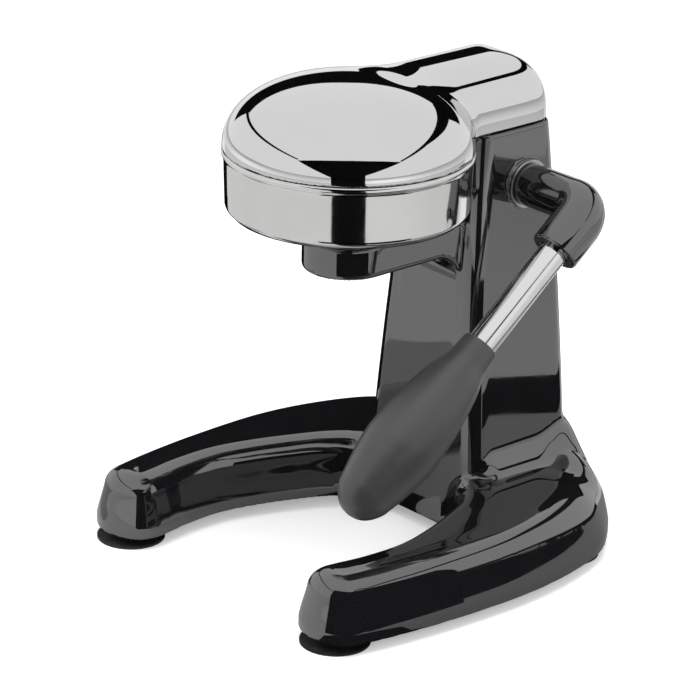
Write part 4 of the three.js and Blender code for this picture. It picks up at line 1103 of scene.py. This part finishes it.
soft_box("top_box", (0.1, -0.1, 1.4), (0, 0, 0.15), (1.0, 1.0), 16)
soft_box("left_box", (-1.2, -0.9, 0.9), (0, 0, 0.12), (0.8, 1.0), 8)
soft_box("right_box", (1.4, -0.2, 0.8), (0, 0, 0.12), (0.8, 1.0), 8)
print("lamps:", len(bpy.data.lights))

# %% [markdown]
# ## Flags, walls and mats
# Chrome and gloss enamel only show what stands round them, so photographers set black flags beside the light
# to give them their dark bands. Far flags draw the ring and the wedge on the head and the strip on the bowl.
# Low walls and mats close to the press darken the legs and the column's foot, and stay below what the head
# can see. They are plain cards that only reflections see, each given by bearings round the press.

# %% Cards that only reflections see
black_card = paper_finish("black_flag", 0.004)
grey_card = paper_finish("grey_mat", 0.33)
pale_card = paper_finish("pale_mat", 0.6)

def flag(name, corners, shade=black_card, faces=None):
    mesh = bpy.data.meshes.new(name)
    mesh.from_pydata(corners, [], faces or [tuple(range(len(corners)))])
    card = new_object(name, mesh)
    mesh.materials.append(shade)
    card.visible_camera = card.visible_diffuse = card.visible_shadow = False
    card.visible_transmission = card.visible_volume_scatter = False

# %% Far flags
# Corners are shares of the flag's distance, to the right and up, as seen from the head.
flag_distance = 1.2
head_place = np.array([0, 0, 0.215])

def standing_flag(name, facing, shape):
    ahead = np.array([sin(radians(facing)), -cos(radians(facing)), 0])
    aside = np.array([cos(radians(facing)), sin(radians(facing)), 0])
    corners = [head_place + flag_distance * (ahead + right * aside + (0, 0, high)) for right, high in shape]
    flag(name, [tuple(corner) for corner in corners])

standing_flag("front_flag", 50, [
    (-1.19, 0.66), (-0.6, 0.7), (0, 0.715), (0.6, 0.7), (1.11, 0.66), (0.2126, 0.045), (0.2126, -0.178),
    (-0.306, -0.178), (-0.306, -0.046),
])
standing_flag("left_seam", -42, [(-1.6, 0.56), (0.9, 0.6), (0.9, 0.66), (-1.6, 0.64)])
standing_flag("right_seam", 150, [
    (-1.28, 0.73), (-0.2, 0.74), (0.4, 0.62), (1.43, 0.5), (1.43, 0.85), (0.4, 0.86), (-1.28, 0.82),
])
standing_flag("rear_flag", -132, [
    (-0.8, 0.28), (0, 0.15), (0.75, 0.12), (0.75, 0.5), (0, 0.42), (-0.8, 0.62),
])

# %% Low walls and mats near the press
def ring(from_bearing, to_bearing, away, steps):
    turns = [radians(from_bearing + (to_bearing - from_bearing) * k / steps) for k in range(steps + 1)]
    return [(away * sin(t), -away * cos(t)) for t in turns]

def low_wall(name, from_bearing, to_bearing, away, top, steps=16):
    corners = [(x, y, z) for x, y in ring(from_bearing, to_bearing, away, steps) for z in (0.001, top)]
    faces = [(2 * k, 2 * k + 2, 2 * k + 3, 2 * k + 1) for k in range(steps)]
    flag(name, corners, faces=faces)

def lying_mat(name, from_bearing, to_bearing, near, far, height, shade=black_card):
    outer = ring(from_bearing, to_bearing, far, 12)
    inner = ring(from_bearing, to_bearing, near, 12)[::-1]
    flag(name, [(x, y, height) for x, y in outer + inner], shade)

low_wall("front_wall", 22, 98, 0.2, 0.105)
low_wall("right_wall", 98, 172, 0.28, 0.022)
low_wall("rear_wall", -172, -95, 0.2, 0.16)
low_wall("left_wall", -95, -80, 0.2, 0.12)
lying_mat("table_mat", -95, 172, 0.02, 0.95, 0.0004, pale_card)
lying_mat("right_mat", 58, 172, 0.02, 0.3, 0.0006, grey_card)
lying_mat("left_mat", -80, -42, 0.175, 0.28, 0.0006, grey_card)
lying_mat("front_mat", 33, 62, 0.02, 1.25, 0.0008)
lying_mat("rear_mat", -172, -95, 0.02, 0.64, 0.0007)

# %% [markdown]
# ## White world
# The camera and every reflection see a plain white room. For the light that falls on matt surfaces it is
# dimmer, so that the soft boxes shape the press and pale surfaces keep their tone.

# %% World and view
room_light = 0.5
world = bpy.data.worlds.new("studio")
bpy.context.scene.world = world
world.use_nodes = True
tree = world.node_tree
background = tree.nodes["Background"]
background.inputs["Color"].default_value = (1, 1, 1, 1)
path = node_in(tree, "LightPath").outputs
seen = joined(tree, "MAXIMUM", path["Is Camera Ray"], path["Is Glossy Ray"])
seen = joined(tree, "MAXIMUM", seen, path["Is Transmission Ray"])
feed(tree, background.inputs["Strength"], ranged(tree, seen, 0.0, 1.0, room_light, 1.0))
bpy.context.scene.view_settings.view_transform = "Standard"
